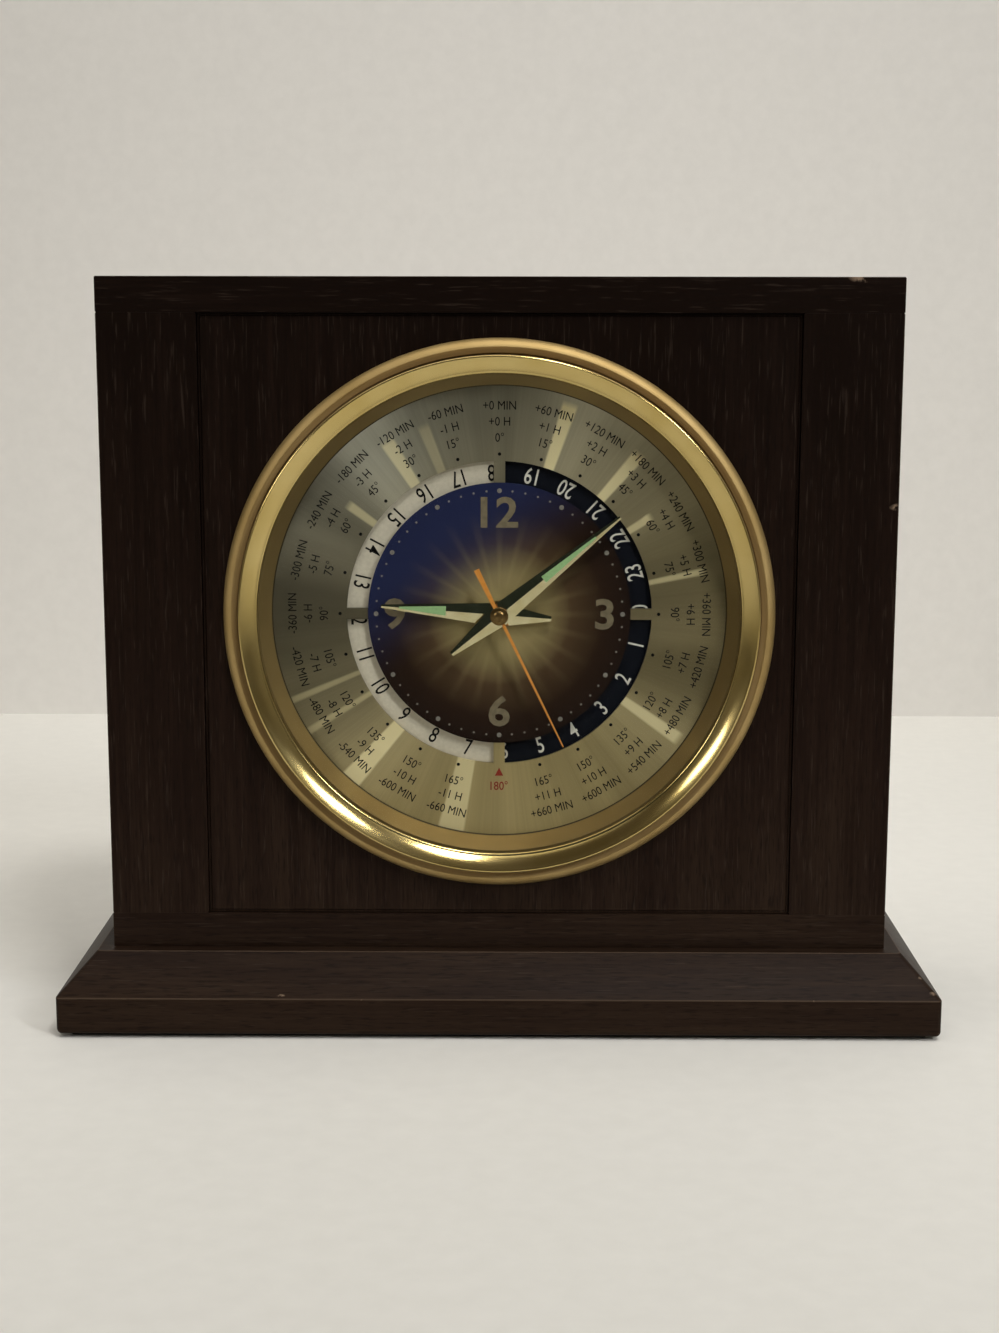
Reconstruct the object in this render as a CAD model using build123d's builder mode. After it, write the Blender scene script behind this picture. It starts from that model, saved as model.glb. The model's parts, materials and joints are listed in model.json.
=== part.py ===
from build123d import *
import math
import os

# Desk clock with a 24-hour disc, set in a wooden cabinet on a plinth. All sizes in millimetres.
# X runs to the right, the dial faces -Y and Z is up. The origin is the middle of the felt's underside.
# A depth is measured backwards from the front panel's face, so what stands proud has a negative depth.

# Cabinet boards
cabinet_width = 195.0
cabinet_height = 167.0
cabinet_depth = 54.0
side_board = 24.3
top_board_height = 8.6
bottom_board_height = 8.8
board_easing = 0.6

# Front panel, held by a tongue all round
panel_thickness = 8.0
panel_recess = 0.8
panel_reveal = 0.5
panel_easing = 0.4
tongue_setback = 2.6
tongue_thickness = 3.0
tongue_length = 3.0
groove_fit = 0.2

# Back panel, set in a rebate
back_thickness = 4.0
rebate_width = 6.0
rebate_fit = 0.4
service_width = 76.0
service_height = 84.0
service_corner = 6.0
service_drop = 12.0

# Plinth and felt
plinth_ledge = 3.6
plinth_slope_run = 9.0
plinth_slope_drop = 9.6
plinth_edge = 9.4
plinth_corner = 1.2
plinth_easing = 1.3
felt_thickness = 1.0
felt_inset = 3.0

# Joinery
dowel_radius = 3.0
dowel_in_side = 12.0
dowel_in_board = 6.0
dowel_spacing = 24.0
dowel_fit = 0.1
plinth_screw_spacing_x = 120.0
plinth_screw_spacing_y = 26.0
plinth_screw_radius = 2.0
plinth_screw_head = 4.0
plinth_screw_grip = 6.0
wood_screw_radius = 1.3
wood_screw_head = 2.7
wood_screw_head_height = 1.5
wood_screw_grip = 6.0
screw_fit = 0.1
back_screw_rows = 3
back_screw_pitch = 58.0

# Bezel: a ridged flange with a skirt through the panel, and a polished ring on it
dial_rise = 0.9
panel_margin = 5.2
flange_edge = 0.8
flange_overhang = 6.0
ridge_inset = 2.1
ridge_height = 3.0
ridge_fall = 0.9
groove_inset = 3.6
ledge_height = 0.8
skirt_wall = 1.6
ring_gap = 0.4
ring_height = 5.0
ring_shoulder = 0.7
ring_overhang = 0.9
ring_lip = 0.3
seat_fit = 0.1

# Glass and the cone ring below it
glass_seat = 0.8
glass_thickness = 1.5
glass_front = -2.0
gasket_thickness = 0.3
cone_step = 0.2
cone_width = 2.9
cone_top_gap = 0.2

# Dial
dial_depth = 5.5
dial_thickness = 0.8
dial_edge_fit = 0.3
window_radius = 38.0
window_width = 5.3
window_overlap = 0.6
tab_width = 2.8
centre_dial_thickness = 0.3
dial_hole_radius = 3.4

# 24-hour disc, carried by a tube that turns in the carrier's well
disc_gap = 0.4
disc_thickness = 0.8
disc_hole_radius = 5.0
tube_wall = 3.4
tube_length = 4.0
running_fit = 0.1
end_float = 0.3

# Carrier behind the dial
carrier_margin = 1.2
carrier_thickness = 1.5
carrier_rim_width = 3.0
carrier_screw_inset = 5.0
carrier_screw_count = 4
well_wall = 1.5
well_floor = 1.5

# Coaxial arbors
seconds_arbor_radius = 0.6
minute_pipe_radius = 1.7
hour_pipe_radius = 2.5
bush_radius = 4.0
train_arbor_radius = 0.6
rotor_arbor_radius = 0.4
setting_arbor_radius = 0.8
nut_width = 11.0
nut_height = 1.6

# Teeth, as shares of a gear's module and of its pitch
tooth_addendum = 0.7
tooth_dedendum = 0.95
tooth_tip_share = 0.14
tooth_root_share = 0.42

# Gear counts and the modules that set the centre distances
sun_teeth = 24
idler_teeth = 12
day_ring_teeth = 48
day_module = 0.6667
cannon_teeth = 8
minute_wheel_teeth = 24
minute_pinion_teeth = 8
hour_wheel_teeth = 32
motion_module = 0.675
pinion_leaves = 6
third_wheel_teeth = 45
centre_wheel_teeth = 48
third_module = 0.4
seconds_wheel_teeth = 24
seconds_module = 0.72
intermediate_teeth = 45
rotor_module = 0.3
day_gear_thickness = 1.6
wheel_thickness = 0.7
wheel_spacing = 0.7
pinion_overhang = 0.2

# Directions of the arbors round the centre, seen from the front
idler_bearing = 60.0
setting_bearing = 45.0
third_bearing = 135.0
intermediate_bearing = 225.0
rotor_bearing = 225.0

# Idler stud
stud_radius = 1.0
stud_shoulder = 1.7

# Movement housing
housing_top = 20.0
housing_wall = 1.5
housing_corner = 3.0
front_plate = 2.0
bearing_depth = 1.0
boss_radius = 1.7
boss_height = 1.8
cover_thickness = 1.5
housing_screw_inset = 3.2
housing_post_radius = 2.6
machine_screw_radius = 0.9
machine_screw_head = 1.9
machine_screw_head_height = 1.2
machine_screw_grip = 6.0

# Motor and electronics
magnet_radius = 2.4
magnet_height = 1.6
stator_hole_radius = 3.0
stator_thickness = 0.8
stator_half_width = 4.0
stator_leg = 3.0
stator_top = -2.0
stator_bottom = -26.0
coil_gap = 2.25
coil_wall_gap = 2.3
coil_cover_gap = 1.0
coil_radius = 3.2
coil_flange = 0.8
coil_end_gap = 0.5
core_width = 3.0
core_thickness = 1.2
post_radius = 1.5
board_width = 15.5
board_wall_gap = 1.0
board_top = -6.0
board_thickness = 1.0
board_post_inset = 3.0
crystal_radius = 1.0
crystal_length = 6.0
crystal_fit = 0.05

# AA cell and its bay
cell_radius = 7.25
cell_length = 49.2
cell_nub_radius = 2.75
cell_nub_length = 1.3
cell_fit = 0.3
bay_end_room = 1.3
divider_wall = 1.2
contact_thickness = 0.4
contact_width = 9.0
spring_reach = 2.1

# Battery door, a sliding dovetail in the back cover
door_bevel = 1.2
door_fit = 0.15
door_margin = 2.0
door_ribs = 4
door_rib_pitch = 2.4
door_rib_width = 0.8
door_rib_height = 0.6
door_rib_length = 20.0

# Setting knob
knob_radius = 6.5
knob_height = 6.0
knob_gap = 0.5
knob_grooves = 16
knob_groove_radius = 0.8
knob_easing = 0.5

# Hands, at the time that they show
minute_angle = 50.6
hour_angle = 274.2
second_angle = 154.0
minute_tip = 38.5
minute_tail = 15.3
minute_half_width = 2.85
hour_tip = 29.4
hour_tail = 13.0
hour_half_width = 3.0
hand_tip_half_width = 0.4
hand_tail_half_width = 0.6
hand_thickness = 0.7
hand_edge_thickness = 0.25
hour_hand_depth = 3.3
minute_hand_depth = 2.0
second_hand_depth = 0.9
collet_radius = 3.2
collet_height = 0.7
inlay_sink = 0.1
minute_inlay_from = 14.2
minute_inlay_tip_gap = 7.7
minute_inlay_half_width = 0.95
hour_inlay_from = 13.3
hour_inlay_tip_gap = 4.5
hour_inlay_half_width = 1.2
inlay_tip_half_width = 0.25
needle_tip = 36.7
needle_half_width = 0.4
needle_tip_half_width = 0.15
paddle_tail = 12.8
paddle_half_width = 0.7
second_thickness = 0.4
cap_radius = 2.1
cap_height = 0.6
cap_easing = 0.3
collet_wall = 0.4

# Heights and widths that follow
plinth_height = plinth_slope_drop + plinth_edge
cabinet_bottom = felt_thickness + plinth_height
cabinet_top = cabinet_bottom + cabinet_height
side_height = cabinet_height - top_board_height - bottom_board_height
side_bottom = cabinet_bottom + bottom_board_height
side_middle_z = side_bottom + side_height / 2
opening_width = cabinet_width - 2 * side_board
cabinet_front = -cabinet_depth / 2
cabinet_back = cabinet_depth / 2
panel_front = cabinet_front + panel_recess
dial_z = side_middle_z + dial_rise
plinth_overhang = plinth_ledge + plinth_slope_run
plinth_width = cabinet_width + 2 * plinth_overhang
plinth_depth = cabinet_depth + 2 * plinth_overhang
groove_depth = tongue_length + groove_fit
side_x = (cabinet_width - side_board) / 2

# Radii that follow from the room inside the cabinet's boards
clock_room = min(opening_width, side_height) / 2
flange_radius = clock_room - panel_margin
ridge_radius = flange_radius - ridge_inset
groove_radius = flange_radius - groove_inset
ring_radius = groove_radius - ring_gap
skirt_radius = flange_radius - flange_overhang
skirt_bore = skirt_radius - skirt_wall
ring_bore = skirt_bore - ring_overhang
glass_radius = skirt_bore + glass_seat
cone_top_radius = ring_bore - cone_step
cone_bottom_radius = cone_top_radius - cone_width
carrier_radius = clock_room - carrier_margin
carrier_screw_radius = carrier_radius - carrier_screw_inset
centre_dial_radius = window_radius - window_width
tube_radius = day_module * (day_ring_teeth / 2 + tooth_dedendum) + tube_wall

# Depths that follow
glass_back = glass_front + glass_thickness
gasket_back = glass_back + gasket_thickness
dial_back = dial_depth + dial_thickness
disc_front = dial_back + disc_gap
disc_back = disc_front + disc_thickness
tube_back = disc_back + tube_length
well_front = tube_back + end_float
well_back = well_front + well_floor
well_radius = tube_radius + running_fit
carrier_back = panel_thickness + carrier_thickness
dial_radius = skirt_bore - dial_edge_fit
plate_back = well_back + front_plate
rear_depth = cabinet_back - panel_front
day_gear_front = disc_back + end_float
day_gear_back = day_gear_front + day_gear_thickness
arbor_front = plate_back - bearing_depth
glass_pocket_radius = glass_radius + seat_fit


def wheel_front(layer):
    """Depth of the front face of the wheels in a layer of the train."""
    return plate_back + end_float + layer * (wheel_thickness + wheel_spacing)


hour_layer, minute_layer, centre_layer, third_layer, seconds_layer, intermediate_layer = range(6)
stator_front = wheel_front(intermediate_layer) + wheel_thickness + 1.5 * wheel_spacing
stator_back = stator_front + stator_thickness
core_back = stator_back + core_thickness
coil_depth = stator_back + core_thickness / 2
coil_room = coil_depth + coil_radius + coil_cover_gap - plate_back
bay_depth = max(2 * (cell_radius + cell_fit), coil_room)
cover_front = plate_back + bay_depth
cover_back = cover_front + cover_thickness
arbor_back = cover_front - running_fit


def polar(distance, bearing, start=(0.0, 0.0)):
    """Place at a distance and a bearing from a start, seen from the front."""
    angle = math.radians(bearing)
    return (start[0] + distance * math.cos(angle), start[1] + distance * math.sin(angle))


# Centre distances and the arbors' places
idler_distance = day_module * (sun_teeth + idler_teeth) / 2
setting_distance = motion_module * (cannon_teeth + minute_wheel_teeth) / 2
hour_module = 2 * setting_distance / (minute_pinion_teeth + hour_wheel_teeth)
third_distance = third_module * (pinion_leaves + third_wheel_teeth) / 2
centre_module = 2 * third_distance / (pinion_leaves + centre_wheel_teeth)
intermediate_distance = seconds_module * (pinion_leaves + seconds_wheel_teeth) / 2
rotor_distance = rotor_module * (pinion_leaves + intermediate_teeth) / 2
centre = (0.0, 0.0)
idler_place = polar(idler_distance, idler_bearing)
setting_place = polar(setting_distance, setting_bearing)
third_place = polar(third_distance, third_bearing)
intermediate_place = polar(intermediate_distance, intermediate_bearing)
rotor_place = polar(rotor_distance, rotor_bearing, intermediate_place)
coil_place_x = rotor_place[0] - stator_half_width - coil_gap - coil_radius

# The cell's bay at the bottom of the movement
divider_bottom = stator_bottom - cell_fit - coil_radius
divider_top = divider_bottom + divider_wall
cell_z = divider_bottom - cell_fit - cell_radius
housing_bottom = cell_z - cell_radius - cell_fit
cell_depth = plate_back + bay_depth / 2
bay_length = cell_length + cell_nub_length + 2 * contact_thickness + spring_reach
bay_half = bay_length / 2
housing_half_width = max(bay_half + bay_end_room, coil_radius + coil_wall_gap - coil_place_x)
housing_height = housing_top - housing_bottom
housing_middle = (housing_top + housing_bottom) / 2
post_x = housing_half_width - housing_screw_inset
housing_posts = [
    (-post_x, housing_top - housing_screw_inset),
    (post_x, housing_top - housing_screw_inset),
    (0.0, divider_top + housing_screw_inset),
]

section_plane = Plane(origin=(0, panel_front, dial_z), x_dir=(1, 0, 0), z_dir=(0, 0, 1))
dial_axis = Axis((0, panel_front, dial_z), (0, 1, 0))


def face_plane(depth, place=centre):
    """Plane parallel to the dial at a depth, facing the viewer, with its origin at a place on the dial."""
    origin = (place[0], panel_front + depth, dial_z + place[1])
    return Plane(origin=origin, x_dir=(1, 0, 0), z_dir=(0, -1, 0))


def hand_plane(depth, clock_angle):
    """Plane parallel to the dial whose X axis points along a hand, clockwise from twelve."""
    angle = math.radians(clock_angle)
    origin = (0, panel_front + depth, dial_z)
    return Plane(origin=origin, x_dir=(math.sin(angle), 0, math.cos(angle)), z_dir=(0, -1, 0))


def turned_ring(points):
    """Revolve a closed outline of (radius, depth) points about the dial's axis."""
    with BuildSketch(section_plane) as section:
        with BuildLine():
            Polyline(*points, close=True)
        make_face()
    revolve(section.sketch, axis=dial_axis)


def round_layer(front, back, radius, place=centre, bore=0.0, mode=Mode.ADD):
    """Add or cut a disc between two depths, with a bore if one is given."""
    with BuildSketch(face_plane(back, place)) as disc:
        Circle(radius)
        if bore:
            Circle(bore, mode=Mode.SUBTRACT)
    extrude(disc.sketch, amount=back - front, mode=mode)


def block_layer(front, back, left, right, bottom, top, mode=Mode.ADD):
    """Add or cut a block between two depths and four edges on the dial's face."""
    with BuildSketch(face_plane(back, ((left + right) / 2, (bottom + top) / 2))) as block:
        Rectangle(right - left, top - bottom)
    extrude(block.sketch, amount=back - front, mode=mode)


def tooth_outline(teeth, module, phase, inward=False):
    """Points round a gear, with a tooth centred at the phase angle; inward teeth point to the centre."""
    pitch_radius = teeth * module / 2
    side = -1 if inward else 1
    tip_radius = pitch_radius + side * tooth_addendum * module
    root_radius = pitch_radius - side * tooth_dedendum * module
    pitch_angle = 360 / teeth
    points = []
    for tooth in range(teeth):
        middle = phase + tooth * pitch_angle
        for radius, share in (
            (root_radius, -tooth_root_share),
            (tip_radius, -tooth_tip_share),
            (tip_radius, tooth_tip_share),
            (root_radius, tooth_root_share),
        ):
            points.append(polar(radius, middle + share * pitch_angle / 2))
    return points


def gear_layer(front, back, teeth, module, phase, place=centre, bore=0.0):
    """Add a spur gear between two depths, with a bore if one is given."""
    with BuildSketch(face_plane(back, place)) as gear:
        with BuildLine():
            Polyline(*tooth_outline(teeth, module, phase), close=True)
        make_face()
        if bore:
            Circle(bore, mode=Mode.SUBTRACT)
    extrude(gear.sketch, amount=back - front)


def pitches_past_tooth(phase, teeth, bearing):
    """How far a bearing lies past the nearest tooth before it, in pitches."""
    return ((bearing - phase) * teeth / 360) % 1


def meshing_phase(phase, teeth, other_teeth, bearing):
    """Phase of a gear at a bearing from another, with its gap on the other's tooth."""
    past = pitches_past_tooth(phase, teeth, bearing)
    return bearing + 180 + (past + 0.5) * 360 / other_teeth


def train_wheel(layer, teeth, module, phase, place=centre, bore=0.0):
    """Add a wheel in a layer of the train."""
    front = wheel_front(layer)
    gear_layer(front, front + wheel_thickness, teeth, module, phase, place, bore)


def train_pinion(layer, teeth, module, phase, place=centre, bore=0.0):
    """Add a pinion that overhangs the wheel of its layer on both sides."""
    front = wheel_front(layer) - pinion_overhang
    back = wheel_front(layer) + wheel_thickness + pinion_overhang
    gear_layer(front, back, teeth, module, phase, place, bore)


def eased_board(width, height, middle_x, middle_z):
    """Add a cabinet board with eased front edges, over the cabinet's whole depth."""
    with BuildSketch(Plane.XZ.offset(cabinet_front)) as board:
        with Locations((middle_x, middle_z)):
            Rectangle(width, height)
    extrude(board.sketch, amount=cabinet_depth)
    long_edges = edges().filter_by(Axis.Y)
    chamfer(long_edges, board_easing / 2)


def cut_box(size_x, size_y, size_z, middle):
    """Cut a box from the active part."""
    with Locations(middle):
        Box(size_x, size_y, size_z, mode=Mode.SUBTRACT)


groove_y = panel_front + tongue_setback + tongue_thickness / 2
groove_width = tongue_thickness + 2 * groove_fit
rebate_y = cabinet_back - back_thickness / 2
dowel_ys = (-dowel_spacing / 2, dowel_spacing / 2)


def cut_dowel_holes(seam_z, upwards):
    """Cut the dowel holes of one board from its seam with the sides."""
    for x in (-side_x, side_x):
        for y in dowel_ys:
            depth = dowel_in_board + dowel_fit
            middle_z = seam_z + upwards * depth / 2
            with Locations((x, y, middle_z)):
                Cylinder(dowel_radius + dowel_fit, depth, mode=Mode.SUBTRACT)


def cabinet_end_board(height, bottom, seam_z, upwards):
    """Make the top or the bottom board, with its groove, rebate and dowel holes."""
    eased_board(cabinet_width, height, 0, bottom + height / 2)
    groove_middle = seam_z + upwards * groove_depth / 2
    cut_box(opening_width + 2 * groove_depth, groove_width, groove_depth, (0, groove_y, groove_middle))
    rebate_middle = seam_z + upwards * rebate_width / 2
    cut_box(opening_width + 2 * rebate_width, back_thickness, rebate_width, (0, rebate_y, rebate_middle))
    cut_dowel_holes(seam_z, upwards)


# Plinth with a sloped upper edge, and the felt below it
plinth_screw_places = GridLocations(plinth_screw_spacing_x, plinth_screw_spacing_y, 2, 2)
with BuildPart() as plinth:
    with BuildSketch(Plane.XY.offset(felt_thickness)):
        RectangleRounded(plinth_width, plinth_depth, plinth_corner)
    extrude(amount=plinth_edge)
    fillet(edges().group_by(Axis.Z)[0], plinth_easing)
    slope_top = cabinet_bottom
    with BuildSketch(Plane.XY.offset(felt_thickness + plinth_edge)):
        RectangleRounded(plinth_width, plinth_depth, plinth_corner)
    with BuildSketch(Plane.XY.offset(slope_top)):
        RectangleRounded(
            plinth_width - 2 * plinth_slope_run, plinth_depth - 2 * plinth_slope_run, plinth_corner
        )
    loft()
    with BuildSketch(Plane.XY.offset(felt_thickness)):
        with plinth_screw_places:
            Circle(plinth_screw_radius + screw_fit)
    extrude(amount=plinth_height, mode=Mode.SUBTRACT)
    head_depth = plinth_screw_head - plinth_screw_radius
    for screw_place in plinth_screw_places.locations:
        with Locations(screw_place * Pos(Z=felt_thickness + head_depth / 2)):
            Cone(
                plinth_screw_head + screw_fit, plinth_screw_radius + screw_fit, head_depth,
                mode=Mode.SUBTRACT,
            )
plinth.part.label = "plinth"

with BuildPart() as base_felt:
    with BuildSketch():
        RectangleRounded(plinth_width - 2 * felt_inset, plinth_depth - 2 * felt_inset, plinth_corner)
    extrude(amount=felt_thickness)
base_felt.part.label = "base_felt"

with BuildPart() as plinth_screws:
    for screw_place in plinth_screw_places.locations:
        with Locations(screw_place * Pos(Z=felt_thickness + head_depth / 2)):
            Cone(plinth_screw_head, plinth_screw_radius, head_depth)
        shank = plinth_height + plinth_screw_grip - head_depth
        with Locations(screw_place * Pos(Z=felt_thickness + head_depth + shank / 2)):
            Cylinder(plinth_screw_radius, shank)
plinth_screws.part.label = "plinth_screws"

# Four cabinet boards
with BuildPart() as top_board:
    cabinet_end_board(top_board_height, cabinet_top - top_board_height, cabinet_top - top_board_height, 1)
top_board.part.label = "top_board"

with BuildPart() as bottom_board:
    cabinet_end_board(bottom_board_height, cabinet_bottom, side_bottom, -1)
    with BuildSketch(Plane.XY.offset(cabinet_bottom)):
        with plinth_screw_places:
            Circle(plinth_screw_radius + screw_fit)
    extrude(amount=plinth_screw_grip + screw_fit, mode=Mode.SUBTRACT)
bottom_board.part.label = "bottom_board"

back_screw_x = (opening_width + rebate_width) / 2
back_screw_places = [
    (side * back_screw_x, side_middle_z + (row - (back_screw_rows - 1) / 2) * back_screw_pitch)
    for side in (-1, 1)
    for row in range(back_screw_rows)
]


def side_panel(side):
    """Make the left or the right side of the cabinet."""
    inner_face = side * opening_width / 2
    eased_board(side_board, side_height, side * side_x, side_middle_z)
    groove_middle = inner_face + side * groove_depth / 2
    cut_box(groove_depth, groove_width, side_height, (groove_middle, groove_y, side_middle_z))
    rebate_middle = inner_face + side * rebate_width / 2
    cut_box(rebate_width, back_thickness, side_height, (rebate_middle, rebate_y, side_middle_z))
    hole_depth = dowel_in_side + dowel_fit
    for end_z, inwards in ((side_bottom, 1), (side_bottom + side_height, -1)):
        for y in dowel_ys:
            with Locations((side * side_x, y, end_z + inwards * hole_depth / 2)):
                Cylinder(dowel_radius + dowel_fit, hole_depth, mode=Mode.SUBTRACT)
    rebate_floor = rear_depth - back_thickness
    for x, z in back_screw_places:
        if x * side > 0:
            round_layer(
                rebate_floor - wood_screw_grip - screw_fit, rebate_floor, wood_screw_radius + screw_fit,
                (x, z - dial_z), mode=Mode.SUBTRACT,
            )


with BuildPart() as left_side:
    side_panel(-1)
left_side.part.label = "left_side"

with BuildPart() as right_side:
    side_panel(1)
right_side.part.label = "right_side"

with BuildPart() as corner_dowels:
    dowel_length = dowel_in_side + dowel_in_board
    for seam_z, upwards in ((side_bottom, 1), (side_bottom + side_height, -1)):
        middle_z = seam_z + upwards * (dowel_in_side - dowel_in_board) / 2
        with Locations(*[(x, y, middle_z) for x in (-side_x, side_x) for y in dowel_ys]):
            Cylinder(dowel_radius, dowel_length)
corner_dowels.part.label = "corner_dowels"

# Front panel with its tongue and the hole for the clock
carrier_screw_places = [
    polar(carrier_screw_radius, 360 * (screw + 0.5) / carrier_screw_count)
    for screw in range(carrier_screw_count)
]
face_width = opening_width - 2 * panel_reveal
face_height = side_height - 2 * panel_reveal
with BuildPart() as front_panel:
    panel_middle = (0, side_middle_z - dial_z)
    with BuildSketch(face_plane(panel_thickness, panel_middle)):
        Rectangle(face_width, face_height)
    extrude(amount=panel_thickness)
    chamfer(faces().sort_by(Axis.Y)[0].edges(), panel_easing)
    with BuildSketch(face_plane(tongue_setback + tongue_thickness, panel_middle)):
        Rectangle(opening_width + 2 * tongue_length, side_height + 2 * tongue_length)
    extrude(amount=tongue_thickness)
    round_layer(0, panel_thickness, skirt_radius + seat_fit, mode=Mode.SUBTRACT)
    for place in carrier_screw_places:
        round_layer(
            panel_thickness - wood_screw_grip, panel_thickness, wood_screw_radius + screw_fit, place,
            mode=Mode.SUBTRACT,
        )
front_panel.part.label = "front_panel"

# Back panel with the service opening, and its screws
with BuildPart() as back_panel:
    back_margin = 2 * (rebate_width - rebate_fit)
    with BuildSketch(face_plane(rear_depth, (0, side_middle_z - dial_z))):
        Rectangle(opening_width + back_margin, side_height + back_margin)
    extrude(amount=back_thickness)
    with BuildSketch(face_plane(rear_depth, (0, -service_drop))):
        RectangleRounded(service_width, service_height, service_corner)
    extrude(amount=back_thickness, mode=Mode.SUBTRACT)
    for x, z in back_screw_places:
        round_layer(
            rear_depth - back_thickness, rear_depth, wood_screw_radius + screw_fit, (x, z - dial_z),
            mode=Mode.SUBTRACT,
        )
back_panel.part.label = "back_panel"


def wood_screw(face_depth, grip, place):
    """Add a round-headed screw that enters towards the front from a face."""
    round_layer(face_depth - grip, face_depth, wood_screw_radius, place)
    round_layer(face_depth, face_depth + wood_screw_head_height, wood_screw_head, place)


with BuildPart() as back_panel_screws:
    for x, z in back_screw_places:
        wood_screw(rear_depth, back_thickness + wood_screw_grip, (x, z - dial_z))
back_panel_screws.part.label = "back_panel_screws"

# Bezel, glass and cone ring
with BuildPart() as bezel_flange:
    turned_ring([
        (flange_radius, 0),
        (flange_radius, -flange_edge),
        (ridge_radius, -ridge_height),
        (groove_radius, ridge_fall - ridge_height),
        (groove_radius, -ledge_height),
        (glass_pocket_radius, -ledge_height),
        (glass_pocket_radius, gasket_back),
        (skirt_bore, gasket_back),
        (skirt_bore, panel_thickness - end_float),
        (skirt_radius, panel_thickness - end_float),
        (skirt_radius, 0),
    ])
bezel_flange.part.label = "bezel_flange"

with BuildPart() as bezel_ring:
    turned_ring([
        (ring_radius, -ledge_height),
        (ring_radius, -ring_height + ring_shoulder),
        (ring_radius - ring_shoulder, -ring_height),
        (ring_bore, glass_front - ring_lip),
        (ring_bore, glass_front),
        (glass_pocket_radius, glass_front),
        (glass_pocket_radius, -ledge_height),
    ])
bezel_ring.part.label = "bezel_ring"

with BuildPart() as glass:
    round_layer(glass_front, glass_back, glass_radius)
glass.part.label = "glass"

with BuildPart() as glass_gasket:
    round_layer(glass_back, gasket_back, glass_radius, bore=skirt_bore)
glass_gasket.part.label = "glass_gasket"

with BuildPart() as cone_ring:
    turned_ring([
        (dial_radius, glass_back + cone_top_gap),
        (cone_top_radius, glass_back + cone_top_gap),
        (cone_bottom_radius, dial_depth),
        (dial_radius, dial_depth),
    ])
cone_ring.part.label = "cone_ring"

# Dial plate with four windows, and the printed centre
with BuildPart() as dial_plate:
    with BuildSketch(face_plane(dial_back)):
        Circle(dial_radius)
        Circle(window_radius, mode=Mode.SUBTRACT)
        Circle(centre_dial_radius - window_overlap)
        Rectangle(2 * window_radius, tab_width)
        Rectangle(tab_width, 2 * window_radius)
        Circle(dial_hole_radius, mode=Mode.SUBTRACT)
    extrude(amount=dial_thickness)
dial_plate.part.label = "dial_plate"

with BuildPart() as centre_dial:
    round_layer(dial_depth - centre_dial_thickness, dial_depth, centre_dial_radius, bore=dial_hole_radius)
centre_dial.part.label = "centre_dial"

# Carrier: a plate on the panel's back, with a rim for the dial and a well for the disc's tube
with BuildPart() as dial_carrier:
    round_layer(panel_thickness, carrier_back, carrier_radius)
    round_layer(dial_back, panel_thickness, dial_radius, bore=dial_radius - carrier_rim_width)
    round_layer(carrier_back, well_back, well_radius + well_wall)
    round_layer(panel_thickness, well_front, well_radius, mode=Mode.SUBTRACT)
    round_layer(well_front, well_back, bush_radius + seat_fit, mode=Mode.SUBTRACT)
    round_layer(well_front, well_back, stud_radius + seat_fit, idler_place, mode=Mode.SUBTRACT)
    for place in carrier_screw_places:
        round_layer(panel_thickness, carrier_back, wood_screw_radius + screw_fit, place, mode=Mode.SUBTRACT)
dial_carrier.part.label = "dial_carrier"

with BuildPart() as carrier_screws:
    for place in carrier_screw_places:
        wood_screw(carrier_back, carrier_thickness + wood_screw_grip - screw_fit, place)
carrier_screws.part.label = "carrier_screws"

# 24-hour drive: sun on the hour pipe, idler on a stud, ring gear in the disc
sun_phase = idler_bearing
idler_phase = meshing_phase(sun_phase, sun_teeth, idler_teeth, idler_bearing)
ring_past = pitches_past_tooth(idler_phase, idler_teeth, idler_bearing)
ring_phase = idler_bearing + (0.5 - ring_past) * 360 / day_ring_teeth

with BuildPart() as day_disc:
    round_layer(disc_front, disc_back, window_radius + window_overlap, bore=disc_hole_radius)
    with BuildSketch(face_plane(tube_back)):
        Circle(tube_radius)
        with BuildLine():
            Polyline(*tooth_outline(day_ring_teeth, day_module, ring_phase, inward=True), close=True)
        make_face(mode=Mode.SUBTRACT)
    extrude(amount=tube_length)
day_disc.part.label = "day_disc"

with BuildPart() as sun_gear:
    gear_layer(day_gear_front, day_gear_back, sun_teeth, day_module, sun_phase, bore=hour_pipe_radius)
sun_gear.part.label = "sun_gear"

with BuildPart() as idler_gear:
    gear_layer(
        day_gear_front, day_gear_back, idler_teeth, day_module, idler_phase, idler_place,
        bore=stud_radius + running_fit,
    )
idler_gear.part.label = "idler_gear"

with BuildPart() as idler_stud:
    round_layer(day_gear_front, well_back, stud_radius, idler_place)
    round_layer(day_gear_back + running_fit, well_front, stud_shoulder, idler_place)
idler_stud.part.label = "idler_stud"

# Motion work: cannon pinion, minute wheel and hour wheel
minute_wheel_phase = meshing_phase(setting_bearing, cannon_teeth, minute_wheel_teeth, setting_bearing)
hour_wheel_phase = setting_bearing
minute_pinion_phase = meshing_phase(hour_wheel_phase, hour_wheel_teeth, minute_pinion_teeth, setting_bearing)
minute_pipe_bore = seconds_arbor_radius + running_fit
hour_pipe_bore = minute_pipe_radius + running_fit
centre_wheel_back = wheel_front(centre_layer) + wheel_thickness
hour_pipe_front = hour_hand_depth + hand_thickness / 2
minute_pipe_front = minute_hand_depth + hand_thickness / 2

with BuildPart() as hour_wheel:
    train_wheel(hour_layer, hour_wheel_teeth, hour_module, hour_wheel_phase, bore=hour_pipe_bore)
    round_layer(hour_pipe_front, wheel_front(hour_layer), hour_pipe_radius, bore=hour_pipe_bore)
hour_wheel.part.label = "hour_wheel"

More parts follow.
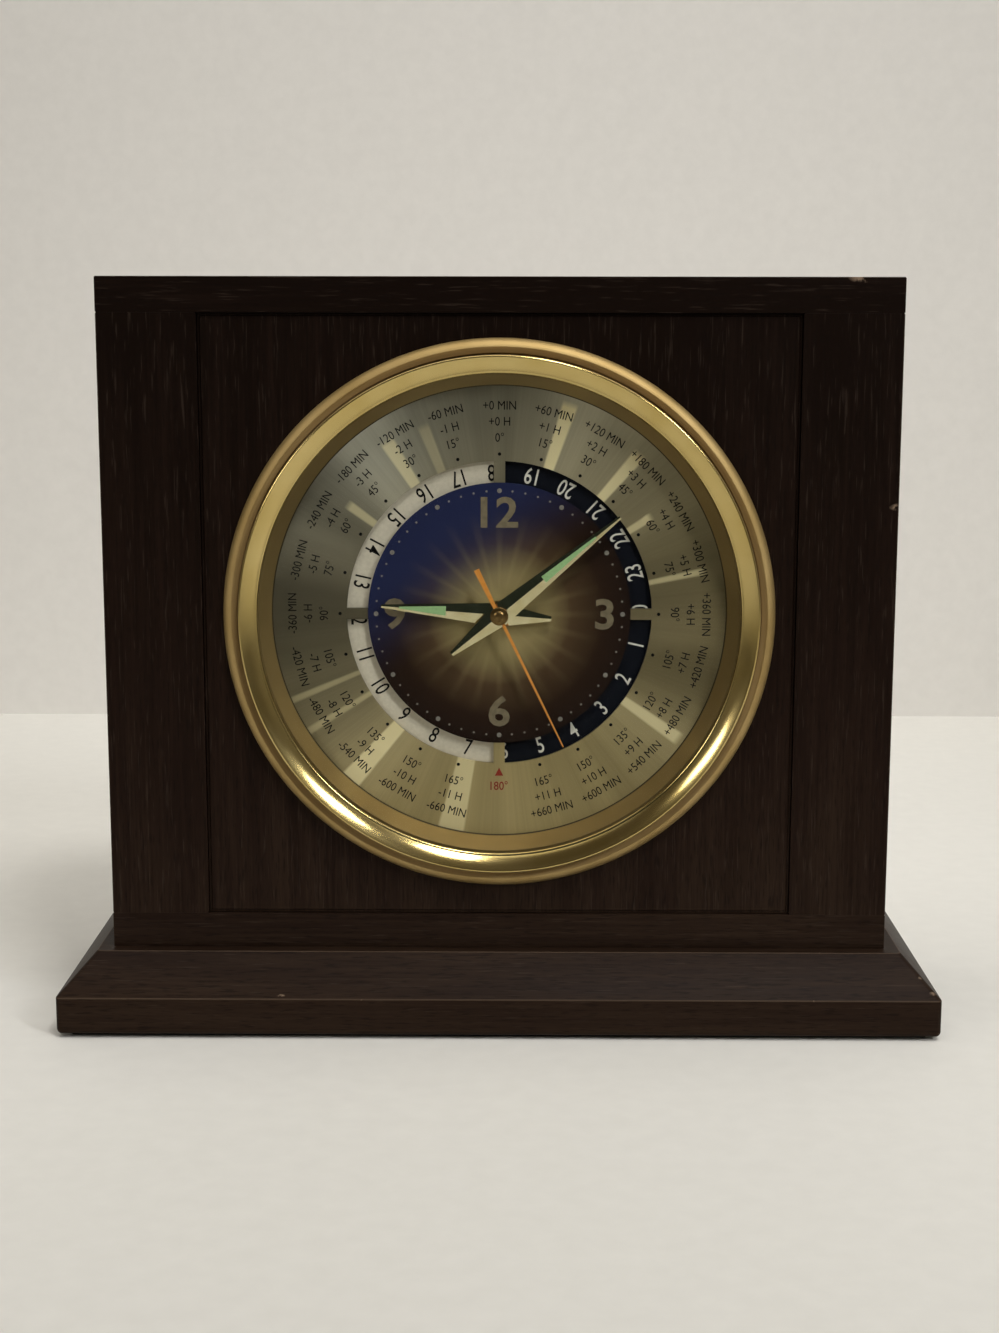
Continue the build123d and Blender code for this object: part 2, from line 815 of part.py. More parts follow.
with BuildPart() as cannon_pinion:
    train_pinion(minute_layer, cannon_teeth, motion_module, setting_bearing, bore=minute_pipe_bore)
    pipe_back = centre_wheel_back + pinion_overhang
    round_layer(minute_pipe_front, pipe_back, minute_pipe_radius, bore=minute_pipe_bore)
cannon_pinion.part.label = "cannon_pinion"

knob_front = cover_back + knob_gap
knob_back = knob_front + knob_height
with BuildPart() as minute_wheel:
    train_wheel(minute_layer, minute_wheel_teeth, motion_module, minute_wheel_phase, setting_place)
    train_pinion(hour_layer, minute_pinion_teeth, hour_module, minute_pinion_phase, setting_place)
    round_layer(arbor_front, knob_back - knob_height / 4, setting_arbor_radius, setting_place)
minute_wheel.part.label = "minute_wheel"

with BuildPart() as set_knob:
    round_layer(knob_front, knob_back, knob_radius, setting_place)
    chamfer(edges().group_by(Axis.Y)[-1], knob_easing)
    with BuildSketch(face_plane(knob_back, setting_place)):
        with PolarLocations(knob_radius, knob_grooves):
            Circle(knob_groove_radius)
    extrude(amount=knob_height, mode=Mode.SUBTRACT)
    round_layer(
        knob_front, knob_back - knob_height / 4 + screw_fit, setting_arbor_radius + seat_fit / 4,
        setting_place, mode=Mode.SUBTRACT,
    )
set_knob.part.label = "set_knob"

# Running train: seconds, third, centre and intermediate wheels
third_wheel_phase = meshing_phase(third_bearing, pinion_leaves, third_wheel_teeth, third_bearing)
third_pinion_phase = meshing_phase(third_bearing, centre_wheel_teeth, pinion_leaves, third_bearing)
intermediate_pinion_phase = meshing_phase(
    intermediate_bearing, seconds_wheel_teeth, pinion_leaves, intermediate_bearing
)
rotor_pinion_phase = meshing_phase(rotor_bearing, intermediate_teeth, pinion_leaves, rotor_bearing)
second_collet_back = minute_hand_depth - running_fit

with BuildPart() as seconds_wheel:
    round_layer(second_hand_depth + second_thickness / 2, arbor_back, seconds_arbor_radius)
    train_pinion(third_layer, pinion_leaves, third_module, third_bearing)
    train_wheel(seconds_layer, seconds_wheel_teeth, seconds_module, intermediate_bearing)
seconds_wheel.part.label = "seconds_wheel"

with BuildPart() as third_wheel:
    round_layer(arbor_front, arbor_back, train_arbor_radius, third_place)
    train_pinion(centre_layer, pinion_leaves, centre_module, third_pinion_phase, third_place)
    train_wheel(third_layer, third_wheel_teeth, third_module, third_wheel_phase, third_place)
third_wheel.part.label = "third_wheel"

with BuildPart() as centre_wheel:
    train_wheel(
        centre_layer, centre_wheel_teeth, centre_module, third_bearing, bore=minute_pipe_radius + running_fit
    )
centre_wheel.part.label = "centre_wheel"

with BuildPart() as intermediate_wheel:
    round_layer(arbor_front, arbor_back, train_arbor_radius, intermediate_place)
    train_pinion(
        seconds_layer, pinion_leaves, seconds_module, intermediate_pinion_phase, intermediate_place
    )
    train_wheel(intermediate_layer, intermediate_teeth, rotor_module, rotor_bearing, intermediate_place)
intermediate_wheel.part.label = "intermediate_wheel"

magnet_middle = (stator_front + stator_back) / 2
with BuildPart() as rotor:
    round_layer(arbor_front, arbor_back, rotor_arbor_radius, rotor_place)
    train_pinion(intermediate_layer, pinion_leaves, rotor_module, rotor_pinion_phase, rotor_place)
    magnet_front = magnet_middle - magnet_height / 2
    round_layer(magnet_front, magnet_front + magnet_height, magnet_radius, rotor_place)
rotor.part.label = "rotor"

# Motor: stator plate round the rotor, core across its legs, coil on the core
stator_left = coil_place_x - core_width / 2
stator_posts = [
    (coil_place_x + coil_radius, stator_top - stator_leg / 2),
    (coil_place_x + coil_radius, stator_bottom + stator_leg / 2),
]
with BuildPart() as stator:
    bar_right = rotor_place[0] + stator_half_width
    bar_left = rotor_place[0] - stator_half_width
    block_layer(stator_front, stator_back, bar_left, bar_right, stator_bottom, stator_top)
    block_layer(stator_front, stator_back, stator_left, bar_right, stator_top - stator_leg, stator_top)
    block_layer(stator_front, stator_back, stator_left, bar_right, stator_bottom, stator_bottom + stator_leg)
    round_layer(stator_front, stator_back, stator_hole_radius, rotor_place, mode=Mode.SUBTRACT)
stator.part.label = "stator"

with BuildPart() as coil_core:
    block_layer(stator_back, core_back, stator_left, stator_left + core_width, stator_bottom, stator_top)
coil_core.part.label = "coil_core"

coil_bottom = stator_bottom + stator_leg + coil_end_gap
coil_top = stator_top - stator_leg - coil_end_gap
with BuildPart() as coil:
    coil_plane = Plane(origin=(coil_place_x, panel_front + coil_depth, dial_z + coil_bottom))
    coil_length = coil_top - coil_bottom
    with BuildSketch(coil_plane):
        Circle(coil_radius - coil_flange)
    extrude(amount=coil_length)
    for flange_bottom in (0, coil_length - coil_flange):
        with BuildSketch(coil_plane.offset(flange_bottom)):
            Circle(coil_radius)
        extrude(amount=coil_flange)
    with BuildSketch(coil_plane):
        Rectangle(core_width, core_thickness)
    extrude(amount=coil_length, mode=Mode.SUBTRACT)
coil.part.label = "coil"

# Circuit board and crystal
board_front = stator_front
board_right = housing_half_width - board_wall_gap
board_left = board_right - board_width
board_bottom = stator_bottom
board_posts = [
    (board_right - board_post_inset, board_top - board_post_inset),
    (board_right - board_post_inset, board_bottom + board_post_inset),
]
with BuildPart() as circuit_board:
    block_layer(board_front, board_front + board_thickness, board_left, board_right, board_bottom, board_top)
circuit_board.part.label = "circuit_board"

with BuildPart() as quartz_crystal:
    crystal_plane = Plane(
        origin=(
            (board_left + board_right) / 2,
            panel_front + board_front - crystal_radius - crystal_fit,
            dial_z + (board_bottom + board_top - crystal_length) / 2,
        )
    )
    with BuildSketch(crystal_plane):
        Circle(crystal_radius)
    extrude(amount=crystal_length)
quartz_crystal.part.label = "quartz_crystal"

# Movement housing
with BuildPart() as front_housing:
    with BuildSketch(face_plane(cover_front, (0, housing_middle))):
        RectangleRounded(
            2 * (housing_half_width + housing_wall), housing_height + 2 * housing_wall, housing_corner
        )
    extrude(amount=cover_front - well_back)
    block_layer(
        plate_back, cover_front, -housing_half_width, housing_half_width, divider_top, housing_top,
        mode=Mode.SUBTRACT,
    )
    block_layer(
        plate_back, cover_front, -bay_half, bay_half, housing_bottom, divider_bottom,
        mode=Mode.SUBTRACT,
    )
    for place in housing_posts:
        round_layer(plate_back, cover_front, housing_post_radius, place)
        hole_front = cover_front - machine_screw_grip - screw_fit
        round_layer(
            hole_front, cover_front, machine_screw_radius + screw_fit, place, mode=Mode.SUBTRACT
        )
    for place in stator_posts:
        round_layer(plate_back, stator_front, post_radius, place)
    for place in board_posts:
        round_layer(plate_back, board_front, post_radius, place)
    round_layer(well_front - nut_height, well_back, bush_radius)
    round_layer(well_front - nut_height, plate_back, hour_pipe_radius + running_fit, mode=Mode.SUBTRACT)
    for place, radius in (
        (setting_place, setting_arbor_radius),
        (third_place, train_arbor_radius),
        (intermediate_place, train_arbor_radius),
        (rotor_place, rotor_arbor_radius),
    ):
        round_layer(arbor_front - running_fit, plate_back, radius + running_fit, place, mode=Mode.SUBTRACT)
front_housing.part.label = "front_housing"

with BuildPart() as centre_nut:
    with BuildSketch(face_plane(well_front)):
        RegularPolygon(nut_width / 2, 6, major_radius=False)
        Circle(bush_radius + seat_fit / 2, mode=Mode.SUBTRACT)
    extrude(amount=nut_height)
centre_nut.part.label = "centre_nut"

door_half = bay_half - door_margin
door_top = divider_bottom - door_fit
door_bottom = housing_bottom - housing_wall


def door_section(half_width, bottom, top, mode=Mode.ADD):
    """Add or cut a dovetailed plate that is wider towards the front, between two heights."""
    plane = Plane(origin=(0, panel_front, dial_z + bottom), x_dir=(1, 0, 0), z_dir=(0, 0, 1))
    with BuildSketch(plane) as dovetail:
        with BuildLine():
            Polyline(
                (-half_width - door_bevel, cover_front),
                (half_width + door_bevel, cover_front),
                (half_width, cover_back),
                (-half_width, cover_back),
                close=True,
            )
        make_face()
    extrude(dovetail.sketch, amount=top - bottom, mode=mode)


with BuildPart() as back_cover:
    with BuildSketch(face_plane(cover_back, (0, housing_middle))):
        RectangleRounded(
            2 * (housing_half_width + housing_wall), housing_height + 2 * housing_wall, housing_corner
        )
    extrude(amount=cover_thickness)
    door_section(door_half + door_fit, door_bottom, divider_bottom, mode=Mode.SUBTRACT)
    bearings = (
        (centre, seconds_arbor_radius),
        (third_place, train_arbor_radius),
        (intermediate_place, train_arbor_radius),
        (rotor_place, rotor_arbor_radius),
    )
    for place, radius in bearings:
        round_layer(cover_front - boss_height, cover_front, boss_radius, place)
        round_layer(
            cover_front - boss_height, cover_front, radius + running_fit, place, mode=Mode.SUBTRACT
        )
    round_layer(
        cover_front, cover_back, setting_arbor_radius + running_fit, setting_place, mode=Mode.SUBTRACT
    )
    for place in housing_posts:
        round_layer(cover_front, cover_back, machine_screw_radius + screw_fit, place, mode=Mode.SUBTRACT)
back_cover.part.label = "back_cover"

with BuildPart() as housing_screws:
    for place in housing_posts:
        round_layer(cover_front - machine_screw_grip, cover_back, machine_screw_radius, place)
        round_layer(cover_back, cover_back + machine_screw_head_height, machine_screw_head, place)
housing_screws.part.label = "housing_screws"

with BuildPart() as battery_door:
    door_section(door_half, door_bottom, door_top)
    door_middle = (door_bottom + door_top) / 2
    for rib in range(door_ribs):
        rib_z = door_middle + (rib - (door_ribs - 1) / 2) * door_rib_pitch
        block_layer(
            cover_back, cover_back + door_rib_height, -door_rib_length / 2, door_rib_length / 2,
            rib_z - door_rib_width / 2, rib_z + door_rib_width / 2,
        )
battery_door.part.label = "battery_door"

# AA cell between its two contacts
cell_right = bay_half - contact_thickness - cell_nub_length
with BuildPart() as battery_cell:
    cell_plane = Plane(
        origin=(cell_right - cell_length, panel_front + cell_depth, dial_z + cell_z),
        x_dir=(0, 1, 0), z_dir=(1, 0, 0),
    )
    with BuildSketch(cell_plane):
        Circle(cell_radius)
    extrude(amount=cell_length)
    with BuildSketch(cell_plane.offset(cell_length)):
        Circle(cell_nub_radius)
    extrude(amount=cell_nub_length)
battery_cell.part.label = "battery_cell"

contact_front = cell_depth - contact_width / 2
contact_back = cell_depth + contact_width / 2
with BuildPart() as plus_contact:
    block_layer(
        contact_front, contact_back, bay_half - contact_thickness, bay_half,
        cell_z - contact_width / 2, cell_z + contact_width / 2,
    )
plus_contact.part.label = "plus_contact"

with BuildPart() as minus_contact:
    with BuildSketch(face_plane(contact_back, (-bay_half, cell_z))):
        with BuildLine():
            reach = spring_reach + contact_thickness
            upper_bend = (contact_thickness, contact_width / 2)
            lower_bend = (contact_thickness, -contact_width / 2)
            Line((0, -contact_width / 2), (0, contact_width / 2))
            Line((0, contact_width / 2), upper_bend)
            ThreePointArc(upper_bend, (reach, 0), lower_bend)
            Line(lower_bend, (0, -contact_width / 2))
        make_face()
        with BuildLine():
            upper_inside = (contact_thickness, contact_width / 3)
            lower_inside = (contact_thickness, -contact_width / 3)
            Line(lower_inside, upper_inside)
            ThreePointArc(upper_inside, (spring_reach, 0), lower_inside)
        make_face(mode=Mode.SUBTRACT)
    extrude(amount=contact_width)
minus_contact.part.label = "minus_contact"

# Hands
facet_slope = {
    "minute": (hand_thickness - hand_edge_thickness) / minute_half_width,
    "hour": (hand_thickness - hand_edge_thickness) / hour_half_width,
}


def facet_plane(depth, clock_angle, slope, side):
    """Plane of one facet: it holds the hand's ridge and falls away to one side."""
    angle = math.radians(clock_angle)
    tilt = math.atan(slope)
    along = (math.sin(angle), 0, math.cos(angle))
    lean = side * math.sin(tilt)
    normal = (-lean * math.cos(angle), -math.cos(tilt), lean * math.sin(angle))
    return Plane(origin=(0, panel_front + depth, dial_z), x_dir=along, z_dir=normal)


def faceted_hand(depth, clock_angle, tip, tail, half_width, slope, pipe_radius, inlay):
    """Make a hand with a ridge along its middle, a collet on its pipe and a slot for its inlay."""
    back = depth + hand_thickness
    with BuildSketch(hand_plane(back, clock_angle)) as outline:
        with BuildLine():
            Polyline(
                (tip, hand_tip_half_width), (0, half_width), (-tail, hand_tail_half_width),
                (-tail, -hand_tail_half_width), (0, -half_width), (tip, -hand_tip_half_width),
                close=True,
            )
        make_face()
    extrude(outline.sketch, amount=hand_thickness)
    for side in (-1, 1):
        split(bisect_by=facet_plane(depth, clock_angle, slope, side), keep=Keep.BOTTOM)
    round_layer(depth + hand_thickness / 2, back, pipe_radius + collet_wall + seat_fit)
    round_layer(depth, back, pipe_radius + seat_fit / 4, mode=Mode.SUBTRACT)
    extrude(inlay_sketch(back, clock_angle, inlay), amount=hand_thickness, mode=Mode.SUBTRACT)


def inlay_sketch(depth, clock_angle, inlay):
    """Draw the tapered outline of a hand's inlay."""
    start, end, half_width = inlay
    with BuildSketch(hand_plane(depth, clock_angle), mode=Mode.PRIVATE) as slot:
        with BuildLine():
            Polyline(
                (start, half_width), (end, inlay_tip_half_width), (end, -inlay_tip_half_width),
                (start, -half_width), close=True,
            )
        make_face()
    return slot.sketch


hour_inlay_size = (hour_inlay_from, hour_tip - hour_inlay_tip_gap, hour_inlay_half_width)
minute_inlay_size = (
    minute_inlay_from, minute_tip - minute_inlay_tip_gap, minute_inlay_half_width
)

with BuildPart() as hour_hand:
    faceted_hand(
        hour_hand_depth, hour_angle, hour_tip, hour_tail, hour_half_width, facet_slope["hour"],
        hour_pipe_radius, hour_inlay_size,
    )
    round_layer(
        hour_hand_depth + hand_thickness, hour_hand_depth + hand_thickness + collet_height, collet_radius,
        bore=hour_pipe_radius + seat_fit / 4,
    )
hour_hand.part.label = "hour_hand"

with BuildPart() as hour_inlay:
    hour_slot = inlay_sketch(hour_hand_depth + hand_thickness, hour_angle, hour_inlay_size)
    extrude(hour_slot, amount=hand_thickness - inlay_sink)
hour_inlay.part.label = "hour_inlay"

with BuildPart() as minute_hand:
    faceted_hand(
        minute_hand_depth, minute_angle, minute_tip, minute_tail, minute_half_width, facet_slope["minute"],
        minute_pipe_radius, minute_inlay_size,
    )
minute_hand.part.label = "minute_hand"

with BuildPart() as minute_inlay:
    minute_slot = inlay_sketch(minute_hand_depth + hand_thickness, minute_angle, minute_inlay_size)
    extrude(minute_slot, amount=hand_thickness - inlay_sink)
minute_inlay.part.label = "minute_inlay"

with BuildPart() as second_hand:
    second_back = second_hand_depth + second_thickness
    with BuildSketch(hand_plane(second_back, second_angle)):
        with BuildLine():
            Polyline(
                (needle_tip, needle_tip_half_width), (0, needle_half_width),
                (-paddle_tail, paddle_half_width), (-paddle_tail, -paddle_half_width),
                (0, -needle_half_width), (needle_tip, -needle_tip_half_width),
                close=True,
            )
        make_face()
    extrude(amount=second_thickness)
    round_layer(second_hand_depth - cap_height, second_back, cap_radius)
    chamfer(edges().filter_by(GeomType.CIRCLE).group_by(Axis.Y)[0], cap_easing)
    round_layer(second_back, second_collet_back, seconds_arbor_radius + collet_wall)
    round_layer(
        second_hand_depth + second_thickness / 2, second_collet_back, seconds_arbor_radius + seat_fit / 4,
        mode=Mode.SUBTRACT,
    )
second_hand.part.label = "second_hand"

clock_pieces = [
    plinth, base_felt, plinth_screws, top_board, bottom_board, left_side, right_side, corner_dowels,
    front_panel, back_panel, back_panel_screws, bezel_flange, bezel_ring, glass, glass_gasket, cone_ring,
    dial_plate, centre_dial, dial_carrier, carrier_screws, day_disc, sun_gear, idler_gear, idler_stud,
    hour_wheel, cannon_pinion, minute_wheel, set_knob, seconds_wheel, third_wheel, centre_wheel,
    intermediate_wheel, rotor, stator, coil_core, coil, circuit_board, quartz_crystal, front_housing,
    centre_nut, back_cover, housing_screws, battery_door, battery_cell, plus_contact, minus_contact,
    hour_hand, hour_inlay, minute_hand, minute_inlay, second_hand,
]
os.makedirs("parts", exist_ok=True)
for piece in clock_pieces:
    export_step(piece.part, f"parts/{piece.part.label}.step")
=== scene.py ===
import json
import math

import bmesh
import bpy
from mathutils import Matrix, Vector


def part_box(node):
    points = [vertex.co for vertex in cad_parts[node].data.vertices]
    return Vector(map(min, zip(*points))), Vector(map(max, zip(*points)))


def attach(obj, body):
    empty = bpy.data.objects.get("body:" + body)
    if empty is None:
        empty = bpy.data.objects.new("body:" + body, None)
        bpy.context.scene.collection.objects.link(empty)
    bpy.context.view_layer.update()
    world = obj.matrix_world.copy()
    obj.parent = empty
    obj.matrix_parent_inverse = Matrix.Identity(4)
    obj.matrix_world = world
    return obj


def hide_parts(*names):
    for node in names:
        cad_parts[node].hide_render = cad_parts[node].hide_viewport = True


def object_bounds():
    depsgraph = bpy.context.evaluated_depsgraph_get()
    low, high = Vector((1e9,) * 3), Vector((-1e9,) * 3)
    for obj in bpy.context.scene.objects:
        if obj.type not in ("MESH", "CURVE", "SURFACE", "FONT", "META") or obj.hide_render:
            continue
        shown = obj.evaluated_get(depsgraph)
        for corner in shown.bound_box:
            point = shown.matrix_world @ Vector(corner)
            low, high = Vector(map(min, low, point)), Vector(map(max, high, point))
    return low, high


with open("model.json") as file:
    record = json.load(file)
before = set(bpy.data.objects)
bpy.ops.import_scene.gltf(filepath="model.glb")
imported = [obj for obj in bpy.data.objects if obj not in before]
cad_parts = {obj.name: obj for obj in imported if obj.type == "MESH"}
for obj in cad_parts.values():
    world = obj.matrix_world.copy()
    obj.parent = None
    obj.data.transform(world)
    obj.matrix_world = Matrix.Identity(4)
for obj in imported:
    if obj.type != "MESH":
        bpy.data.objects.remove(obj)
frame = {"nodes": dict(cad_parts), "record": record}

# Desk clock with a 24-hour disc in a stained wooden cabinet.
# Sizes are in millimetres unless a name ends in _M, and a depth runs backwards from the front panel's face.
cad_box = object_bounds()
MM = 0.001

# Places taken from the frame
glass_low, glass_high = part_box("glass")
DIAL_X = (glass_low.x + glass_high.x) / 2 / MM
DIAL_Z = (glass_low.z + glass_high.z) / 2 / MM
PANEL_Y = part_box("front_panel")[0].y / MM


def round_sizes(node):
    """A round node's radius, and the depths of its front and its back."""
    low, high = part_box(node)
    return (high.x - low.x) / 2 / MM, low.y / MM - PANEL_Y, high.y / MM - PANEL_Y


PLATE_RADIUS, PLATE_DEPTH, _ = round_sizes("dial_plate")
CENTRE_RADIUS, CENTRE_DEPTH, _ = round_sizes("centre_dial")
DISC_RADIUS, DISC_DEPTH, _ = round_sizes("day_disc")
FLANGE_RADIUS, RIDGE_DEPTH, SKIRT_DEPTH = round_sizes("bezel_flange")
RING_RADIUS, RING_DEPTH, LEDGE_DEPTH = round_sizes("bezel_ring")
GLASS_RADIUS, GLASS_FRONT, GLASS_BACK = round_sizes("glass")

# Bezel profile, inwards from the flange's edge
FLANGE_EDGE = 0.8
RIDGE_INSET = 2.1
RIDGE_FALL = 0.9
GROOVE_INSET = 3.6
FLANGE_OVERHANG = 6.0
SKIRT_WALL = 1.6
RING_SHOULDER = 0.5
SHOULDER_SWELL = 0.29 * RING_SHOULDER
RING_OVERHANG = 0.9
RING_LIP = 0.3
RING_BEAD_SHARE = 0.16
POCKET_FIT = 0.1
GASKET = 0.3
CONE_STEP = 0.2
CONE_WIDTH = 2.9
CONE_TOP_GAP = 0.2
BEZEL_EASING = 0.12
TURNED_SEGMENTS = 288
TURNED_SHARP_TURN = math.radians(12)
SWELL_STEPS = 8
FLANGE_SWELL = 0.45
RING_SWELL = 0.16
BEAD_SWELL = 0.1
GROOVE_RADIUS = FLANGE_RADIUS - GROOVE_INSET
SKIRT_RADIUS = FLANGE_RADIUS - FLANGE_OVERHANG
BORE_RADIUS = SKIRT_RADIUS - SKIRT_WALL
RING_BORE = BORE_RADIUS - RING_OVERHANG
CONE_TOP = RING_BORE - CONE_STEP
CONE_LOW = CONE_TOP - CONE_WIDTH

# Prints on the dial. A squeeze narrows the letters, a weight thickens their strokes, and below
# LOW_ZONE, the cosine of a zone's angle, the figures stand with their tops towards the centre.
PRINT_THICKNESS = 0.03
CAPITAL_SHARE = 0.73
ZONES = 24
ZONE_STEP = 360 / ZONES
ZONE_DOT_RING = 39.7
ZONE_DOT_RADIUS = 0.42
ZONE_ROWS = (51.6, 47.7, 43.8)
ZONE_FIGURE = 2.25
ZONE_SQUEEZE = 0.86
RED_WEIGHT = 0.02
LOW_ZONE = -0.2
MINUTES = 60
DEGREES_PER_HOUR = 15
DOT_SIDES = 14
MINUTE_DOT_RING = 30.7
MINUTE_DOT_RADIUS = 0.27
HOUR_DOT_EVERY = 5
HOUR_DOT_SCALE = 2.2
DISC_FIGURE = 4.2
DISC_SQUEEZE = 0.72
DISC_WEIGHT = 0.04
DISC_FIGURE_RING = 35.05
DISC_TURN = -2.1
DISC_SPLIT = 2.0
TOP_HOUR = 18
NUMERAL_HEIGHT = 7.6
NUMERAL_SQUEEZE = 1.1
NUMERAL_WEIGHT = 0.24
NUMERALS = {"12": (0, 25.4), "3": (90, 26.2), "6": (180, 24.6), "9": (270, 26.0)}
TRIANGLE_RING = 40.2
TRIANGLE_HALF = 1.05
CENTRE_BEAMS = 24

# Brushing of the plate, its scratches drawn as coarse as they need to show, painted highlight rays as
# (clock angle, width in degrees, reach, strength), and the tilt of the axis along which painted shade
# darkens it
SCRATCH_WIDTH = 0.7
RAY_WIDTH = 9.0
PAINTED_HIGHLIGHT_RAYS = (
    (18.5, 3.2, 54.5, 0.95), (41.0, 2.8, 52.4, 0.9), (57.0, 1.8, 44.5, 0.75), (78.0, 1.0, 52.0, 0.6),
    (125.0, 2.6, 55.0, 0.45), (192.5, 6.0, 58.0, 0.75), (221.5, 4.6, 58.0, 0.9), (238.0, 1.0, 58.0, 0.5),
    (247.0, 0.8, 58.0, 0.45), (306.0, 2.0, 46.0, 0.5), (327.0, 3.2, 50.8, 0.55), (338.0, 2.5, 50.0, 0.35),
)
RAY_SOFTNESS = 0.7
RAY_END = 0.8
PAINTED_SHADE_TILT = 10.0

# Woodwork: easings of the cabinet's outer edges, of its joints and of the plinth, the share of wear and
# painted highlight on the eased faces, knocks as (x, y, z, reach), and the lacquer in the joint round the
# front panel
EDGE_EASING = 0.3
JOINT_EASING = 0.07
PLINTH_EASING = 0.5
CABINET_WEAR_AND_HIGHLIGHT = 0.5
PLINTH_WEAR_AND_HIGHLIGHT = 1.0
OUTER_REACH = 0.1
MERGE_REACH = 0.001
FLAT_TURN = math.radians(0.4)
SHARP_TURN = math.radians(25)
BOARD_SHARP_TURN = math.radians(10)
REAR_REACH = 0.8
REAR_EASINGS = (
    ("back_panel", "cabinet", "hardboard", 0.4), ("back_cover", "cabinet", "moulded_black", 0.4),
    ("battery_door", "battery_door_body", "moulded_black", 0.15),
)
KNOCKS = (
    (87.0, -27.0, 187.0, 1.5), (97.5, -27.0, 131.8, 1.0), (98.2, -31.5, 16.6, 0.8),
    (105.6, -35.1, 15.2, 0.6), (108.6, -38.1, 12.0, 0.7), (-54.0, -38.9, 11.1, 0.45),
)
KNOCK_SQUEEZE = 0.4
# Painted highlight: the share of pale wood laid along every eased outer edge, on top of the worn spots
EDGE_PAINTED_HIGHLIGHT = 0.22
JOINT_LINE = 0.2
JOINT_WIDTH = 0.62
JOINT_SINK = 0.12
JOINT_DEPTH = 0.6

# Screws as (node, head height, shank radius), the outline of a head in shares of its radius and height,
# and the cross recess in such shares
SCREWS = (("back_panel_screws", 1.5, 1.3), ("housing_screws", 1.2, 0.9))
SCREW_HEAD = ((0, 0), (0.5, 0.05), (0.8, 0.2), (0.95, 0.45), (1, 0.7), (1, 1))
SCREW_SEGMENTS = 48
SLOT_LENGTH = 1.1
SLOT_WIDTH = 0.24
SLOT_DEPTH = 0.6
SCREW_TURN = 0.7

# Cap on the second hand: radii and how far each lies behind the hand's front
HUB_OUTLINE = (
    (0, -0.5), (0.5, -0.47), (0.9, -0.38), (1.2, -0.24), (1.4, -0.12), (1.8, -0.08), (2.1, -0.02),
    (2.25, 0.12), (2.25, 0.55), (0, 0.55),
)
HUB_SEGMENTS = 64


def linear(hex_colour):
    """An sRGB hex colour as linear RGBA."""
    channels = [int(hex_colour[i:i + 2], 16) / 255 for i in (1, 3, 5)]
    bent = [c / 12.92 if c <= 0.04045 else ((c + 0.055) / 1.055) ** 2.4 for c in channels]
    return (*bent, 1.0)


def feed(tree, node, inputs):
    """Set a node's inputs to values, or link them to outputs. A node stands for its first open output."""
    for key, value in inputs.items():
        if isinstance(value, bpy.types.Node):
            value = next(socket for socket in value.outputs if socket.enabled)
        if isinstance(value, bpy.types.NodeSocket):
            tree.links.new(value, node.inputs[key])
        elif isinstance(value, str) and value.startswith("#"):
            node.inputs[key].default_value = linear(value)
        else:
            node.inputs[key].default_value = value


def put(tree, kind, inputs=None, stops=None, **settings):
    """Add a node with its settings, the stops of a colour ramp and its inputs. A kind with no Node in
    its name is a shader node."""
    node = tree.nodes.new(kind if "Node" in kind else "ShaderNode" + kind)
    for name, value in settings.items():
        setattr(node, name, value)
    if stops:
        elements = node.color_ramp.elements
        while len(elements) < len(stops):
            elements.new(1.0)
        for element, (position, colour) in zip(elements, stops):
            element.position = position
            element.color = linear(colour)
    feed(tree, node, inputs or {})
    return node


def calc(tree, operation, *values):
    """A node that works out a number."""
    return put(tree, "Math", dict(enumerate(values)), operation=operation)


def vector_calc(tree, operation, *values):
    """A node that works out a vector or a measure of one."""
    return put(tree, "VectorMath", dict(enumerate(values)), operation=operation)


def remap(tree, value, start, end, low=0.0, high=1.0, **settings):
    """A node that takes a value between start and end to one between low and high."""
    return put(tree, "MapRange", {
        "Value": value, "From Min": start, "From Max": end, "To Min": low, "To Max": high,
    }, **settings)


def blend(tree, share, first, second):
    """A node that mixes a share of the second colour into the first."""
    return put(tree, "Mix", {0: share, 6: first, 7: second}, data_type="RGBA")


def start_finish(name):
    """Start a material: the material, its tree, its shader and its object coordinates."""
    material = bpy.data.materials.new(name)
    material.use_nodes = True
    tree = material.node_tree
    shader = tree.nodes["Principled BSDF"]
    place = put(tree, "TexCoord").outputs["Object"]
    return material, tree, shader, place


def about_dial(tree, place, radius):
    """A place from the dial's centre in shares of a radius, and how far out it lies."""
    scale = 1 / (radius * MM)
    centred = put(tree, "Mapping", {
        "Vector": place,
        "Location": (-DIAL_X * MM * scale, 0, -DIAL_Z * MM * scale),
        "Scale": (scale, 0, scale),
    })
    share = vector_calc(tree, "LENGTH", centred)
    return centred, share


